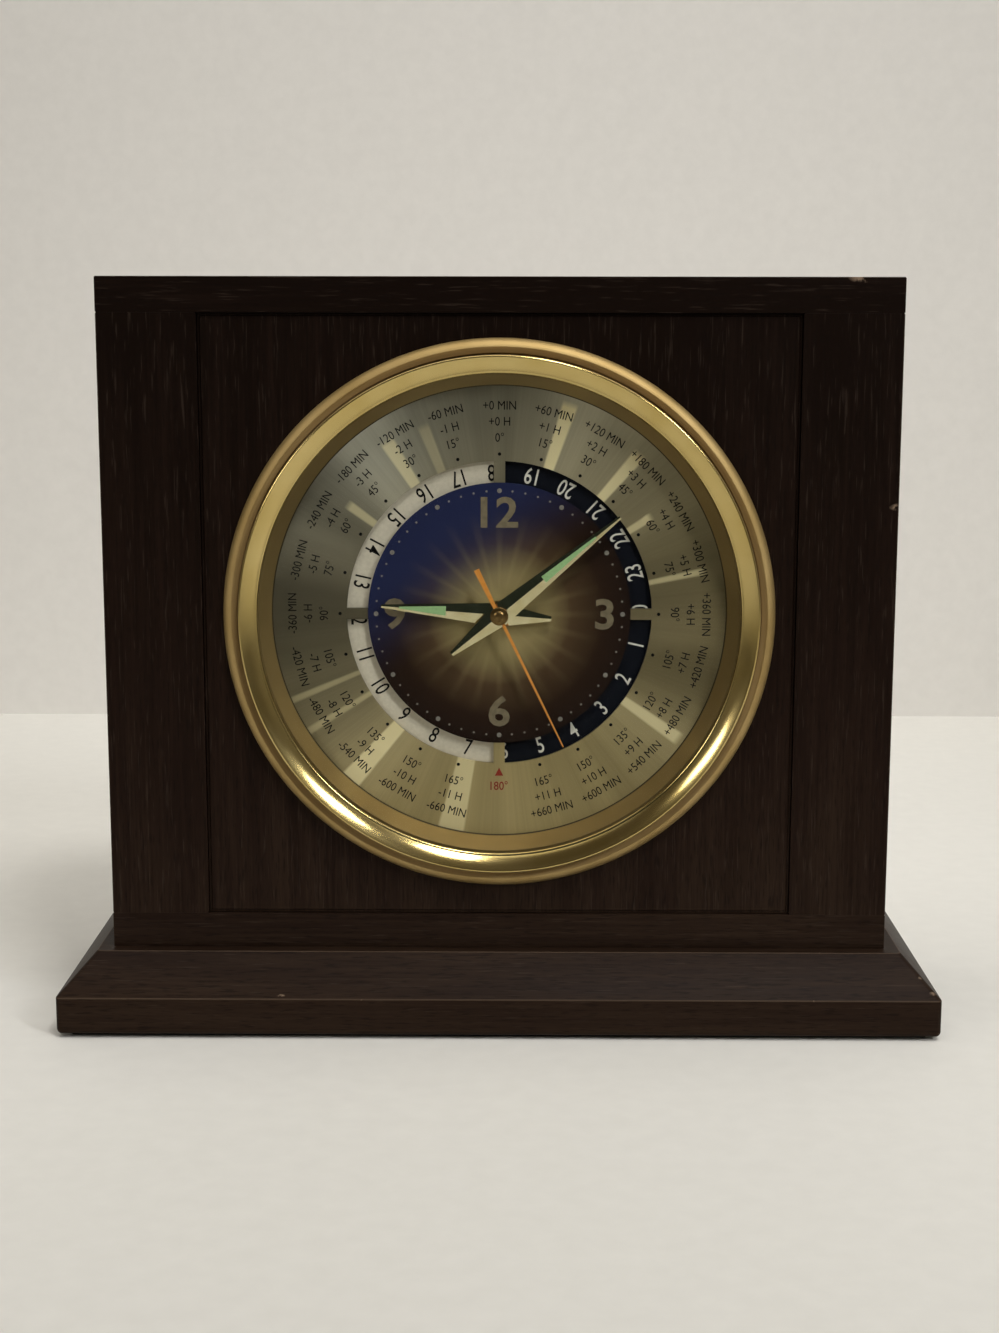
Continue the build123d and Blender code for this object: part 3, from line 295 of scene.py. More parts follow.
def stained_wood(name, along):
    """Hardwood stained nearly black under satin lacquer: fine streaks along the grain, open pores, some of
    them filled with pale wax, pale spots and knocks on the edges, a painted highlight along the eased outer
    edges, and painted light that makes the stain lighter towards the base and darker towards the top."""
    material, tree, shader, place = start_finish(name)

    def grain(width, length, detail):
        scale = [1 / (width * MM)] * 3
        scale[along] = 1 / (length * MM)
        stretched = put(tree, "Mapping", {"Vector": place, "Scale": scale})
        inputs = {"Vector": stretched, "Scale": 1.0, "Detail": detail, "Roughness": 0.6}
        return put(tree, "TexNoise", inputs)

    figure = grain(9.0, 110.0, 2.0)
    streak = grain(0.8, 30.0, 3.0)
    # Pores are finer than this, and are drawn as coarse as they need to show
    pores = grain(0.45, 5.0, 1.0)
    waxed = grain(0.4, 8.0, 1.5)
    mixed = calc(tree, "MULTIPLY_ADD", figure, 0.3, 0.175)
    tone = calc(tree, "MULTIPLY_ADD", streak, 0.35, mixed)
    # Painted light: the stain is made lighter towards the base and darker towards the top, standing in for
    # light thrown up from the table
    height = put(tree, "SeparateXYZ", {0: place}).outputs["Z"]
    painted_light_by_height = remap(tree, height, cad_box[1].z, 0.0, -0.24, 0.14)
    tone_with_painted_light = calc(tree, "ADD", tone, painted_light_by_height)
    stain = put(tree, "ValToRGB", {"Fac": tone_with_painted_light}, stops=[
        (0.3, "#120a06"), (0.5, "#1e130d"), (0.7, "#2d2118"),
    ])
    open_pore = remap(tree, pores, 0.56, 0.68, high=0.55)
    pored = blend(tree, open_pore, stain, "#100a07")
    wax = remap(tree, waxed, 0.62, 0.7, high=0.3)
    dusted = blend(tree, wax, pored, "#40352d")
    # Pale wood on eased edges and at knocks: real worn spots and chips, and a painted highlight that pales
    # every eased outer edge a little
    edge = put(tree, "Attribute", attribute_name="edge_wear_and_highlight").outputs["Fac"]
    chips = put(tree, "TexNoise", {"Vector": place, "Scale": 1 / (2.2 * MM), "Detail": 3.0})
    worn_spots = remap(tree, chips, 0.66, 0.74)
    wear_and_painted_highlight = calc(tree, "MAXIMUM", worn_spots, EDGE_PAINTED_HIGHLIGHT)
    bare_wood_and_painted_highlight = calc(tree, "MULTIPLY", wear_and_painted_highlight, edge)
    flakes = remap(tree, chips, 0.44, 0.54)
    squeezed = put(tree, "Mapping", {"Vector": place, "Scale": (KNOCK_SQUEEZE, 1, 1)})
    for x, y, z, reach in KNOCKS:
        knock = (x * KNOCK_SQUEEZE * MM, y * MM, z * MM)
        away = vector_calc(tree, "DISTANCE", squeezed, knock)
        spot = remap(tree, away, reach * MM, reach / 2 * MM)
        ragged = calc(tree, "MULTIPLY", spot, flakes)
        bare_wood_and_painted_highlight = calc(tree, "MAXIMUM", bare_wood_and_painted_highlight, ragged)
    coloured = blend(tree, bare_wood_and_painted_highlight, dusted, "#7d6a58")
    gloss = remap(tree, tone, 0.3, 0.7, 0.36, 0.5)
    relief = calc(tree, "SUBTRACT", streak, open_pore)
    bump = put(tree, "Bump", {"Height": relief, "Strength": 0.35, "Distance": 0.06 * MM})
    feed(tree, shader, {
        "Base Color": coloured, "Roughness": gloss, "Normal": bump, "IOR": 1.5,
        "Specular IOR Level": 0.05,
    })
    return material


def mottled(name, pale, dark, spot, roughness, metallic=0.0, relief=0.0, stretch=(1, 1, 1), **sockets):
    """A plain finish with soft mottling: two shades, a span of roughness and a fine relief."""
    material, tree, shader, place = start_finish(name)
    scale = [1 / (spot * share * MM) for share in stretch]
    spread = put(tree, "Mapping", {"Vector": place, "Scale": scale})
    spots = put(tree, "TexNoise", {"Vector": spread, "Scale": 1.0, "Detail": 4.0})
    colour = put(tree, "ValToRGB", {"Fac": spots}, stops=[(0.3, dark), (0.7, pale)])
    gloss = remap(tree, spots, 0.25, 0.75, *roughness)
    inputs = {"Base Color": colour, "Roughness": gloss, "Metallic": metallic}
    if relief:
        bump = put(tree, "Bump", {"Height": spots, "Strength": 0.5, "Distance": relief * MM})
        inputs["Normal"] = bump
    feed(tree, shader, {**inputs, **sockets})
    return material


def turned_brass(name, pale, dark, roughness, groove, relief, grime_and_shade, metallic=1.0):
    """Lathe-turned brass: rings of slightly different gloss about the dial's axis, and a dull, tinted band
    from one
    radius to another: duller brass in the flange's groove, a darker foot on the ring, and a painted shadow
    line where the cone meets the plate."""
    material, tree, shader, place = start_finish(name)
    _, share = about_dial(tree, place, groove)
    axes = put(tree, "SeparateXYZ", {0: place}).outputs
    across = calc(tree, "MULTIPLY_ADD", axes["Y"], 1 / (groove * MM), share)
    rings = put(tree, "TexNoise", {"W": across, "Scale": 1.0, "Detail": 2.0}, noise_dimensions="1D")
    cloud = put(tree, "TexNoise", {"Vector": place, "Scale": 1 / (14 * MM), "Detail": 3.0})
    colour = put(tree, "ValToRGB", {"Fac": cloud}, stops=[(0.3, dark), (0.7, pale)])
    gloss = remap(tree, rings, 0.2, 0.8, *roughness)
    start, end, grime_and_shade_colour = grime_and_shade
    grime_and_shade_mask = remap(tree, share, start / groove, end / groove)
    grimed_and_shaded = blend(tree, grime_and_shade_mask, colour, grime_and_shade_colour)
    metal = remap(tree, grime_and_shade_mask, 0.0, 1.0, metallic, 0.2)
    dull = remap(tree, grime_and_shade_mask, 0.0, 1.0, high=0.8)
    finish = calc(tree, "MAXIMUM", gloss, dull)
    bump = put(tree, "Bump", {"Height": rings, "Strength": 0.3, "Distance": relief * MM})
    feed(tree, shader, {"Base Color": grimed_and_shaded, "Metallic": metal, "Roughness": finish, "Normal": bump})
    return material


def sunburst_plate(name):
    """Champagne anodised aluminium, brushed outwards from the centre, with painted highlight rays and
    painted shade towards its sides.
    """
    material, tree, shader, place = start_finish(name)
    centred, share = about_dial(tree, place, PLATE_RADIUS)
    outwards = vector_calc(tree, "NORMALIZE", centred)

    def rays(across, detail):
        inputs = {"Vector": outwards, "Scale": PLATE_RADIUS / across, "Detail": detail, "Roughness": 0.7}
        return put(tree, "TexNoise", inputs)

    scratch = rays(SCRATCH_WIDTH, 3.0)
    broad = rays(RAY_WIDTH, 1.0)
    tone = calc(tree, "MULTIPLY", broad, 0.6)
    mixed = calc(tree, "MULTIPLY_ADD", scratch, 0.4, tone)
    silver = put(tree, "ValToRGB", {"Fac": mixed}, stops=[(0.36, "#aea995"), (0.64, "#c2bca6")])
    golden = put(tree, "ValToRGB", {"Fac": mixed}, stops=[(0.36, "#bfad7c"), (0.64, "#d4c18c")])
    upwards = vector_calc(tree, "DOT_PRODUCT", centred, (-0.5, 0.0, 0.87))
    cool = remap(tree, upwards, -0.5, 0.8)
    brushed = blend(tree, cool, golden, silver)
    # Painted shade: the plate is darkened towards three and nine o'clock, the sides where its brushing
    # catches little light
    lean = math.radians(PAINTED_SHADE_TILT)
    level = (math.cos(lean), 0, -math.sin(lean))
    sideways = vector_calc(tree, "DOT_PRODUCT", outwards, level)
    squared = calc(tree, "MULTIPLY", sideways, sideways)
    narrowed = calc(tree, "MULTIPLY", squared, squared)
    painted_side_shade = remap(tree, narrowed, 0.0, 1.0, high=0.77)
    plain = blend(tree, painted_side_shade, brushed, "#3c3627")
    # Painted highlights: pale rays laid into the colour where the brushed plate would mirror the lamps
    painted_highlight = None
    for clock_angle, width, reach, strength in PAINTED_HIGHLIGHT_RAYS:
        turn = math.radians(clock_angle)
        edge = math.radians(width / 2)
        soft = math.radians(RAY_SOFTNESS)
        along = (math.sin(turn), 0, math.cos(turn))
        near = vector_calc(tree, "DOT_PRODUCT", outwards, along)
        lit = remap(tree, near, math.cos(edge + soft), math.cos(edge), high=strength)
        within = remap(tree, share, (reach + RAY_END) / PLATE_RADIUS, (reach - RAY_END) / PLATE_RADIUS)
        ray = calc(tree, "MULTIPLY", lit, within)
        if painted_highlight:
            ray = calc(tree, "MAXIMUM", painted_highlight, ray)
        painted_highlight = ray
    colour = blend(tree, painted_highlight, plain, "#fff0bc")
    metal = remap(tree, painted_highlight, 0.0, 1.0, 0.8, 0.4)
    around = vector_calc(tree, "CROSS_PRODUCT", centred, (0, 1, 0))
    feed(tree, shader, {
        "Base Color": colour, "Metallic": metal, "Roughness": 0.5, "Anisotropic": 0.95, "Tangent": around,
    })
    return material


def printed_centre(name):
    """Paper-smooth print: an olive glow that fades to brown and night blue, with an even sunray."""
    material, tree, shader, place = start_finish(name)
    centred, share = about_dial(tree, place, CENTRE_RADIUS)
    glow = put(tree, "ValToRGB", {"Fac": share}, stops=[
        (0.0, "#ad9d6d"), (0.3, "#96875d"), (0.55, "#4e3c28"), (0.8, "#2a1b11"), (1.0, "#20140e"),
    ])
    towards = vector_calc(tree, "DOT_PRODUCT", centred, (-0.6, 0.0, 0.8))
    night = remap(tree, towards, 0.08, 0.75, high=0.92, interpolation_type="SMOOTHSTEP")
    sky = blend(tree, night, glow, "#232a4e")
    axes = put(tree, "SeparateXYZ", {0: centred}).outputs
    angle = calc(tree, "ARCTAN2", axes["X"], axes["Z"])
    turns = calc(tree, "MULTIPLY", angle, CENTRE_BEAMS)
    wave = calc(tree, "COSINE", turns)
    ray = remap(tree, wave, 0.2, 1.0)
    fade = remap(tree, share, 0.12, 0.8, 0.18, 0.0)
    beam = calc(tree, "MULTIPLY", ray, fade)
    lit = blend(tree, beam, sky, "#aea070")
    feed(tree, shader, {"Base Color": lit, "Roughness": 0.5, "Specular IOR Level": 0.1})
    return material


def day_night_print(name):
    """Screen-printed disc: one half cream for the day, the other night blue."""
    material, tree, shader, place = start_finish(name)
    centred, _ = about_dial(tree, place, DISC_RADIUS)
    lean = math.radians(DISC_SPLIT)
    nightwards = (math.cos(lean), 0.0, -math.sin(lean))
    across = vector_calc(tree, "DOT_PRODUCT", centred, nightwards)
    night = calc(tree, "GREATER_THAN", across, 0.0)
    speck = put(tree, "TexNoise", {"Vector": place, "Scale": 1 / (0.8 * MM), "Detail": 2.0})
    cream = put(tree, "ValToRGB", {"Fac": speck}, stops=[(0.3, "#d0c7b4"), (0.7, "#dad1be")])
    navy = put(tree, "ValToRGB", {"Fac": speck}, stops=[(0.3, "#0b0e16"), (0.7, "#0f121b")])
    colour = blend(tree, night, cream, navy)
    feed(tree, shader, {"Base Color": colour, "Roughness": 0.55, "Specular IOR Level": 0.1})
    return material


def clear_glass(name):
    """Flat glass, bloomed against glare: clear, a faint mirror, and lamps shine through onto the dial."""
    material, tree, shader, _ = start_finish(name)
    feed(tree, shader, {
        "Base Color": "#f8f9f8", "Roughness": 0.0, "IOR": 1.08, "Transmission Weight": 1.0,
    })
    rays = put(tree, "LightPath").outputs
    passing = put(tree, "BsdfTransparent", {"Color": "#f4f5f4"})
    either = calc(tree, "MAXIMUM", rays["Is Shadow Ray"], rays["Is Diffuse Ray"])
    any_light = calc(tree, "MAXIMUM", either, rays["Is Glossy Ray"])
    mixed = put(tree, "MixShader", {0: any_light, 1: shader, 2: passing})
    feed(tree, tree.nodes["Material Output"], {"Surface": mixed})
    return material


finishes = {
    # Pressed hardboard: brown and dull, with a pebbled face
    "hardboard": mottled("pressed_hardboard", "#7e5e40", "#5f452c", 1.6, (0.55, 0.75), relief=0.08),
    # Napped felt: near black, with no shine
    "felt": mottled("napped_felt", "#23232a", "#0d0d10", 0.5, (0.9, 1.0), relief=0.3),
    # Fluted beech: pale, streaked along the dowel
    "dowel_wood": mottled("fluted_beech", "#cfa974", "#a9814f", 1.0, (0.5, 0.65), stretch=(1, 1, 20)),
    # Zinc-plated steel: cool grey with a soft shine
    "screw_steel": mottled("zinc_plated_steel", "#b9bab8", "#86888a", 1.2, (0.28, 0.45), metallic=1.0),
    # Satin turned brass: warm and matt, duller in the groove
    "satin_gold": turned_brass(
        "satin_turned_brass", "#bea572", "#ad935f", (0.56, 0.66), 0.35, 0.004,
        (GROOVE_RADIUS + 1.4, GROOVE_RADIUS + 0.8, "#9c8252"),
    ),
    # Polished brass: a clear mirror, dull along its foot
    "polished_gold": turned_brass(
        "polished_brass", "#cdb87c", "#bfa868", (0.13, 0.19), 0.6, 0.001,
        (RING_RADIUS - 0.2, RING_RADIUS - 0.02, "#8a7046"),
    ),
    "clear_glass": clear_glass("float_glass"),
    # Rubber: black and dull
    "gasket_rubber": mottled("gasket_rubber", "#161616", "#0a0a0a", 0.8, (0.6, 0.8)),
    # Lacquered bronze: part metal, part tint, with a painted shadow line at its foot, where it meets the
    # plate
    "cone_bronze": turned_brass(
        "bronze_lacquered_cone", "#9c8556", "#8d7649", (0.42, 0.44), 0.5, 0.0,
        (CONE_LOW + 0.35, CONE_LOW + 0.15, "#2e2414"), 0.6,
    ),
    "dial_metal": sunburst_plate("sunburst_brushed_aluminium"),
    "dial_print": printed_centre("printed_centre"),
    "disc_print": day_night_print("screen_printed_disc"),
    # Moulded ABS: dark grey with a fine grain
    "moulded_black": mottled("moulded_black_abs", "#38383c", "#2a2a2d", 0.45, (0.42, 0.58), relief=0.03),
    # Stamped brass: yellow, bright in patches
    "brass_wheels": mottled("stamped_brass", "#c9a55c", "#a9843f", 2.0, (0.25, 0.4), metallic=1.0),
    # Moulded acetal: off-white and a little waxy
    "moulded_white": mottled("moulded_acetal", "#e2dfd6", "#cfccc2", 1.5, (0.35, 0.5)),
    # Sintered magnet: dark grey and grainy
    "rotor_magnet": mottled("sintered_magnet", "#4a4a4d", "#2a2a2c", 0.6, (0.5, 0.7), metallic=0.6),
    # Stamped iron: mid grey, half dull
    "motor_iron": mottled("stamped_iron", "#86878a", "#606164", 1.4, (0.35, 0.5), metallic=1.0),
    # Enamelled copper wire: red-brown turns with a shine
    "coil_copper": mottled(
        "enamelled_copper_wire", "#b5673a", "#6f3418", 0.3, (0.25, 0.4), metallic=1.0, relief=0.05,
        stretch=(20, 20, 1),
    ),
    # Solder mask: green and glossy
    "board_green": mottled("solder_mask", "#1c6a38", "#12502a", 2.5, (0.2, 0.35)),
    # Drawn can: pale and nearly a mirror
    "crystal_can": mottled("drawn_can", "#c4c4c6", "#9d9da0", 0.8, (0.15, 0.3), metallic=1.0),
    # Cell jacket: plain grey metal film
    "cell_jacket": mottled("printed_cell_jacket", "#747c86", "#626973", 3.0, (0.3, 0.4), metallic=0.4),
    # Nickel plate: pale, warm and bright
    "contact_plate": mottled("nickel_plate", "#c2c0b8", "#9c9a92", 1.0, (0.2, 0.35), metallic=1.0),
    # Polished brass of the hands: pale gold mirrors
    "hand_gold": mottled("polished_hand_brass", "#efe4ba", "#e4d6a4", 3.0, (0.08, 0.14), metallic=1.0),
    # Luminous paint: pale green and chalky
    "hand_inlay": mottled("luminous_paint", "#a0c68c", "#8eb67a", 0.6, (0.6, 0.8), relief=0.02),
    # Lacquer of the second hand: orange with a soft shine
    "hand_orange": mottled("orange_hand_lacquer", "#e39a45", "#d98a35", 1.0, (0.25, 0.4)),
}
upright_wood = stained_wood("stained_wood_upright", 2)
level_wood = stained_wood("stained_wood_level", 0)

# Screen-printed inks of the dial: flat, dense and matt
INK_SHINE = {"Specular IOR Level": 0.15}
print_black = mottled("black_dial_ink", "#12100e", "#0a0908", 0.5, (0.5, 0.7), **INK_SHINE)
print_grey = mottled("beige_dial_ink", "#82775f", "#6e6450", 1.2, (0.5, 0.6), **INK_SHINE)
print_dim = mottled("grey_dial_ink", "#8f8b82", "#77736b", 0.6, (0.5, 0.7), **INK_SHINE)
print_white = mottled("white_dial_ink", "#e9e6dc", "#d9d5c9", 0.6, (0.5, 0.7), **INK_SHINE)
print_red = mottled("red_dial_ink", "#a03a2c", "#883025", 0.6, (0.5, 0.7), **INK_SHINE)
# Bronzed brass of the hub cap: dark, half bright
hub_bronze = mottled("dark_hub_bronze", "#8d7248", "#745c38", 0.8, (0.3, 0.38), metallic=1.0)


def on_dial(radius, clock_angle, depth):
    """Place in metres at a radius and a clockwise angle from twelve, at a depth."""
    turn = math.radians(clock_angle)
    x = DIAL_X + radius * math.sin(turn)
    z = DIAL_Z + radius * math.cos(turn)
    return Vector((x, PANEL_Y + depth, z)) * MM


def add_piece(name, mesh, body, slot, *replaced):
    """Make a mesh an object that rides on a body."""
    piece = bpy.data.objects.new(name, mesh)
    bpy.context.scene.collection.objects.link(piece)
    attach(piece, body)
    if replaced:
        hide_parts(*replaced)
    return piece


def to_mesh(shape, name, material, sharp=SHARP_TURN):
    """Turn a bmesh into a smooth-shaded mesh with sharp turns kept."""
    mesh = bpy.data.meshes.new(name)
    shape.to_mesh(mesh)
    shape.free()
    mesh.materials.append(material)
    mesh.shade_smooth()
    mesh.set_sharp_from_angle(angle=sharp)
    return mesh


def turned_piece(name, outline, material, easing=BEZEL_EASING, segments=TURNED_SEGMENTS, place=on_dial):
    """Revolve an outline of (radius, depth) points about the dial's axis, its sharp turns eased."""
    shape = bmesh.new()
    rings = []
    poles = {depth: shape.verts.new(place(0, 0, depth)) for radius, depth in outline if radius == 0}
    for step in range(segments):
        turn = 360 * step / segments
        rings.append([
            shape.verts.new(place(radius, turn, depth)) if radius else poles[depth]
            for radius, depth in outline
        ])
    profile_edges = set()
    for ring, following in zip(rings, rings[1:] + rings[:1]):
        for i in range(len(outline)):
            j = (i + 1) % len(outline)
            corners = list(dict.fromkeys((ring[i], ring[j], following[j], following[i])))
            if len(corners) < 3:
                continue
            face = shape.faces.new(corners)
            if ring[i] is not following[i]:
                profile_edges.add(next(e for e in face.edges if set(e.verts) == {ring[i], following[i]}))
    bmesh.ops.recalc_face_normals(shape, faces=shape.faces)
    if easing:
        sharp = [edge for edge in profile_edges if edge.calc_face_angle() > SHARP_TURN]
        bmesh.ops.bevel(
            shape, geom=sharp, offset=easing * MM, offset_type="OFFSET", segments=2, profile=0.5,
            affect="EDGES", clamp_overlap=True,
        )
    return to_mesh(shape, name, material, TURNED_SHARP_TURN)


def on_box_edge(edge, low, high):
    """True where an edge lies along an edge of a box."""
    middle = (edge.verts[0].co + edge.verts[1].co) / 2
    near = [
        min(abs(middle[i] - low[i]), abs(middle[i] - high[i])) < OUTER_REACH * MM for i in range(3)
    ]
    return sum(near) >= 2


def ease(shape, chosen, easing, wear_and_highlight_share):
    """Round the sharp edges that a test chooses, and give the new faces their share of pale spots and
    painted highlight.
    """
    wear_and_highlight_layer = shape.faces.layers.float.get("edge_wear_and_highlight")
    turned = [
        edge for edge in shape.edges
        if len(edge.link_faces) == 2 and edge.calc_face_angle() > SHARP_TURN and chosen(edge)
        and not any(face[wear_and_highlight_layer] for face in edge.link_faces)
    ]
    rounded = bmesh.ops.bevel(
        shape, geom=turned, offset=easing * MM, offset_type="OFFSET", segments=3, profile=0.5,
        affect="EDGES", clamp_overlap=True,
    )
    for face in rounded["faces"]:
        face[wear_and_highlight_layer] = wear_and_highlight_share


def eased_copy(node, name, material, body, slot, easings):
    """A copy of a part with rounded edges, by a list of (test, easing, share of pale spots and painted
    highlight), in that part's place.
    """
    shape = bmesh.new()
    shape.from_mesh(frame["nodes"][node].data)
    bmesh.ops.remove_doubles(shape, verts=shape.verts, dist=MERGE_REACH * MM)
    bmesh.ops.dissolve_limit(shape, angle_limit=FLAT_TURN, verts=shape.verts, edges=shape.edges)
    shape.faces.layers.float.new("edge_wear_and_highlight")
    for chosen, easing, wear_and_highlight_share in easings:
        ease(shape, chosen, easing, wear_and_highlight_share)
    add_piece(name, to_mesh(shape, name, material, BOARD_SHARP_TURN), body, slot, node)


def line_mesh(words, height, squeeze, weight):
    """A flat line of figures as a closed thin mesh, centred, its capitals of the given height."""
    curve = bpy.data.curves.new("figures", "FONT")
    curve.body = words
    curve.size = height / CAPITAL_SHARE * MM
    curve.offset = weight * MM
    curve.extrude = PRINT_THICKNESS / 2 * MM
    curve.resolution_u = 3
    holder = bpy.data.objects.new("figures", curve)
    mesh = bpy.data.meshes.new_from_object(holder)
    bpy.data.objects.remove(holder)
    bpy.data.curves.remove(curve)
    xs = [vertex.co.x for vertex in mesh.vertices]
    ys = [vertex.co.y for vertex in mesh.vertices]
    middle = Vector(((min(xs) + max(xs)) / 2, (min(ys) + max(ys)) / 2, 0))
    mesh.transform(Matrix.Diagonal((squeeze, 1, 1, 1)) @ Matrix.Translation(-middle))
    return mesh


def dial_matrix(radius, clock_angle, depth, tops_out):
    """Places a flat line on the dial, its tops outwards or towards the centre."""
    turn = math.radians(clock_angle)
    side = 1 if tops_out else -1
    right = Vector((side * math.cos(turn), 0, -side * math.sin(turn)))
    up = Vector((side * math.sin(turn), 0, side * math.cos(turn)))
    front = Vector((0, -1, 0))
    turned = Matrix((right, up, front)).transposed().to_4x4()
    return Matrix.Translation(on_dial(radius, clock_angle, depth - PRINT_THICKNESS / 2)) @ turned


def printed_lines(name, lines, height, squeeze, weight, ink, body, slot):
    """Print lines of (words, place on the dial) as one piece."""
    shape = bmesh.new()
    for words, place in lines:
        mesh = line_mesh(words, height, squeeze, weight)
        mesh.transform(place)
        shape.from_mesh(mesh)
        bpy.data.meshes.remove(mesh)
    add_piece(name, to_mesh(shape, name, ink), body, slot)


def geometry_tree(name, sockets):
    """Start a Geometry Nodes tree with named inputs and one geometry output."""
    tree = bpy.data.node_groups.new(name, "GeometryNodeTree")
    for socket_name, kind in sockets:
        tree.interface.new_socket(socket_name, in_out="INPUT", socket_type=kind)
    tree.interface.new_socket("Geometry", in_out="OUTPUT", socket_type="NodeSocketGeometry")
    return tree


def grown_mesh(tree, name, start, values):
    """Run a tree on a starting mesh with named values and return the plain mesh."""
    grower = bpy.data.objects.new(name, start)
    bpy.context.scene.collection.objects.link(grower)
    modifier = grower.modifiers.new(name, "NODES")
    modifier.node_group = tree
    for item in tree.interface.items_tree:
        if item.in_out == "INPUT" and item.name in values:
            modifier[item.identifier] = values[item.name]
    graph = bpy.context.evaluated_depsgraph_get()
    mesh = bpy.data.meshes.new_from_object(grower.evaluated_get(graph))
    grower.modifiers.remove(modifier)
    bpy.data.objects.remove(grower)
    mesh.name = name
    return mesh


def dot_ring_tree():
    """A ring of round printed dots, every so many of them larger, one left out if asked."""
    tree = geometry_tree("dot_ring", [
        ("Count", "NodeSocketInt"), ("Ring Radius", "NodeSocketFloat"), ("Dot Radius", "NodeSocketFloat"),
        ("Thickness", "NodeSocketFloat"), ("Large Every", "NodeSocketInt"),
        ("Large Scale", "NodeSocketFloat"), ("Left Out", "NodeSocketInt"),
        ("Place", "NodeSocketVector"), ("Ink", "NodeSocketMaterial"),
    ])
    given = put(tree, "NodeGroupInput").outputs
    ring = put(tree, "GeometryNodeMeshCircle", {"Vertices": given["Count"], "Radius": given["Ring Radius"]})
    dot = put(tree, "GeometryNodeMeshCylinder", {
        "Vertices": DOT_SIDES, "Radius": given["Dot Radius"], "Depth": given["Thickness"],
    })
    index = put(tree, "GeometryNodeInputIndex")
    kept = put(tree, "FunctionNodeCompare", {
        2: index, 3: given["Left Out"],
    }, data_type="INT", operation="NOT_EQUAL")
    step = calc(tree, "MODULO", index, given["Large Every"])
    between = calc(tree, "GREATER_THAN", step, 0.5)
    size = put(tree, "Mix", {0: between, 2: given["Large Scale"], 3: 1.0})
    stretch = put(tree, "CombineXYZ", {"X": size, "Y": size, "Z": 1.0})
    dots = put(tree, "GeometryNodeInstanceOnPoints", {
        "Points": ring, "Selection": kept, "Instance": dot,
        "Scale": stretch,
    })
    stood = put(tree, "GeometryNodeTransform", {
        "Geometry": dots, "Translation": given["Place"], "Rotation": (math.pi / 2, 0, 0),
    })
    real = put(tree, "GeometryNodeRealizeInstances", {"Geometry": stood})
    inked = put(tree, "GeometryNodeSetMaterial", {"Geometry": real, "Material": given["Ink"]})
    put(tree, "NodeGroupOutput", {"Geometry": inked})
    return tree


dot_ring = dot_ring_tree()


def printed_dots(name, count, ring, radius, depth, ink, slot, large_every=1, large_scale=1.0, left_out=-1):
    """A ring of dots printed on the dial."""
    mesh = grown_mesh(dot_ring, name, bpy.data.meshes.new(name), {
        "Count": count, "Ring Radius": ring * MM, "Dot Radius": radius * MM,
        "Thickness": PRINT_THICKNESS * MM, "Large Every": large_every, "Large Scale": large_scale,
        "Left Out": left_out, "Place": on_dial(0, 0, depth - PRINT_THICKNESS / 2), "Ink": ink,
    })
    return add_piece(name, mesh, "cabinet", slot)


def swelled(start, end, height):
    """Points from start to end of an outline, bulging outwards by a height."""
    start, end = Vector(start), Vector(end)
    outside = (end - start).orthogonal().normalized()
    points = []
    for step in range(SWELL_STEPS + 1):
        share = step / SWELL_STEPS
        points.append(tuple(start.lerp(end, share) + outside * 4 * share * (1 - share) * height))
    return points


def cross_screw_tree():
    """A screw with a cross recess at each point of the starting mesh, each turned differently."""
    tree = geometry_tree("cross_screws", [
        ("Places", "NodeSocketGeometry"), ("Screw", "NodeSocketObject"), ("Slot Length", "NodeSocketFloat"),
        ("Slot Width", "NodeSocketFloat"), ("Slot Depth", "NodeSocketFloat"), ("Turn", "NodeSocketFloat"),
        ("Finish", "NodeSocketMaterial"),
    ])
    given = put(tree, "NodeGroupInput").outputs
    whole = put(tree, "GeometryNodeObjectInfo", {"Object": given["Screw"]}).outputs["Geometry"]
    deep = calc(tree, "MULTIPLY", given["Slot Depth"], 2.0)
    cut = put(tree, "GeometryNodeMeshBoolean", {"Mesh 1": whole}, operation="DIFFERENCE")
    for across, along in (("Slot Length", "Slot Width"), ("Slot Width", "Slot Length")):
        size = put(tree, "CombineXYZ", {"X": given[across], "Y": deep, "Z": given[along]})
        slot = put(tree, "GeometryNodeMeshCube", {"Size": size})
        feed(tree, cut, {"Mesh 2": slot})
    index = put(tree, "GeometryNodeInputIndex")
    angle = calc(tree, "MULTIPLY", index, given["Turn"])
    turned = put(tree, "CombineXYZ", {"Y": angle})
    screws = put(tree, "GeometryNodeInstanceOnPoints", {
        "Points": given["Places"], "Instance": cut, "Rotation": turned,
    })
    real = put(tree, "GeometryNodeRealizeInstances", {"Geometry": screws})
    plated = put(tree, "GeometryNodeSetMaterial", {"Geometry": real, "Material": given["Finish"]})
    put(tree, "NodeGroupOutput", {"Geometry": plated})
    return tree


cross_screws = cross_screw_tree()


def loose_boxes(node):
    """The lowest and highest corners of each loose solid of a node, in a fixed order."""
    shape = bmesh.new()
    shape.from_mesh(frame["nodes"][node].data)
    bmesh.ops.remove_doubles(shape, verts=shape.verts, dist=MERGE_REACH * MM)
    left = set(shape.verts)
    boxes = []
    while left:
        found = [left.pop()]
        for vertex in found:
            for edge in vertex.link_edges:
                other = edge.other_vert(vertex)
                if other in left:
                    left.remove(other)
                    found.append(other)
        spans = [sorted(vertex.co[i] for vertex in found) for i in range(3)]
        boxes.append((Vector([span[0] for span in spans]), Vector([span[-1] for span in spans])))
    shape.free()
    return sorted(boxes, key=lambda box: tuple(box[0]))


def about_y(radius, clock_angle, depth):
    """Place in metres about the Y axis."""
    turn = math.radians(clock_angle)
    return Vector((radius * math.sin(turn), depth, radius * math.cos(turn))) * MM


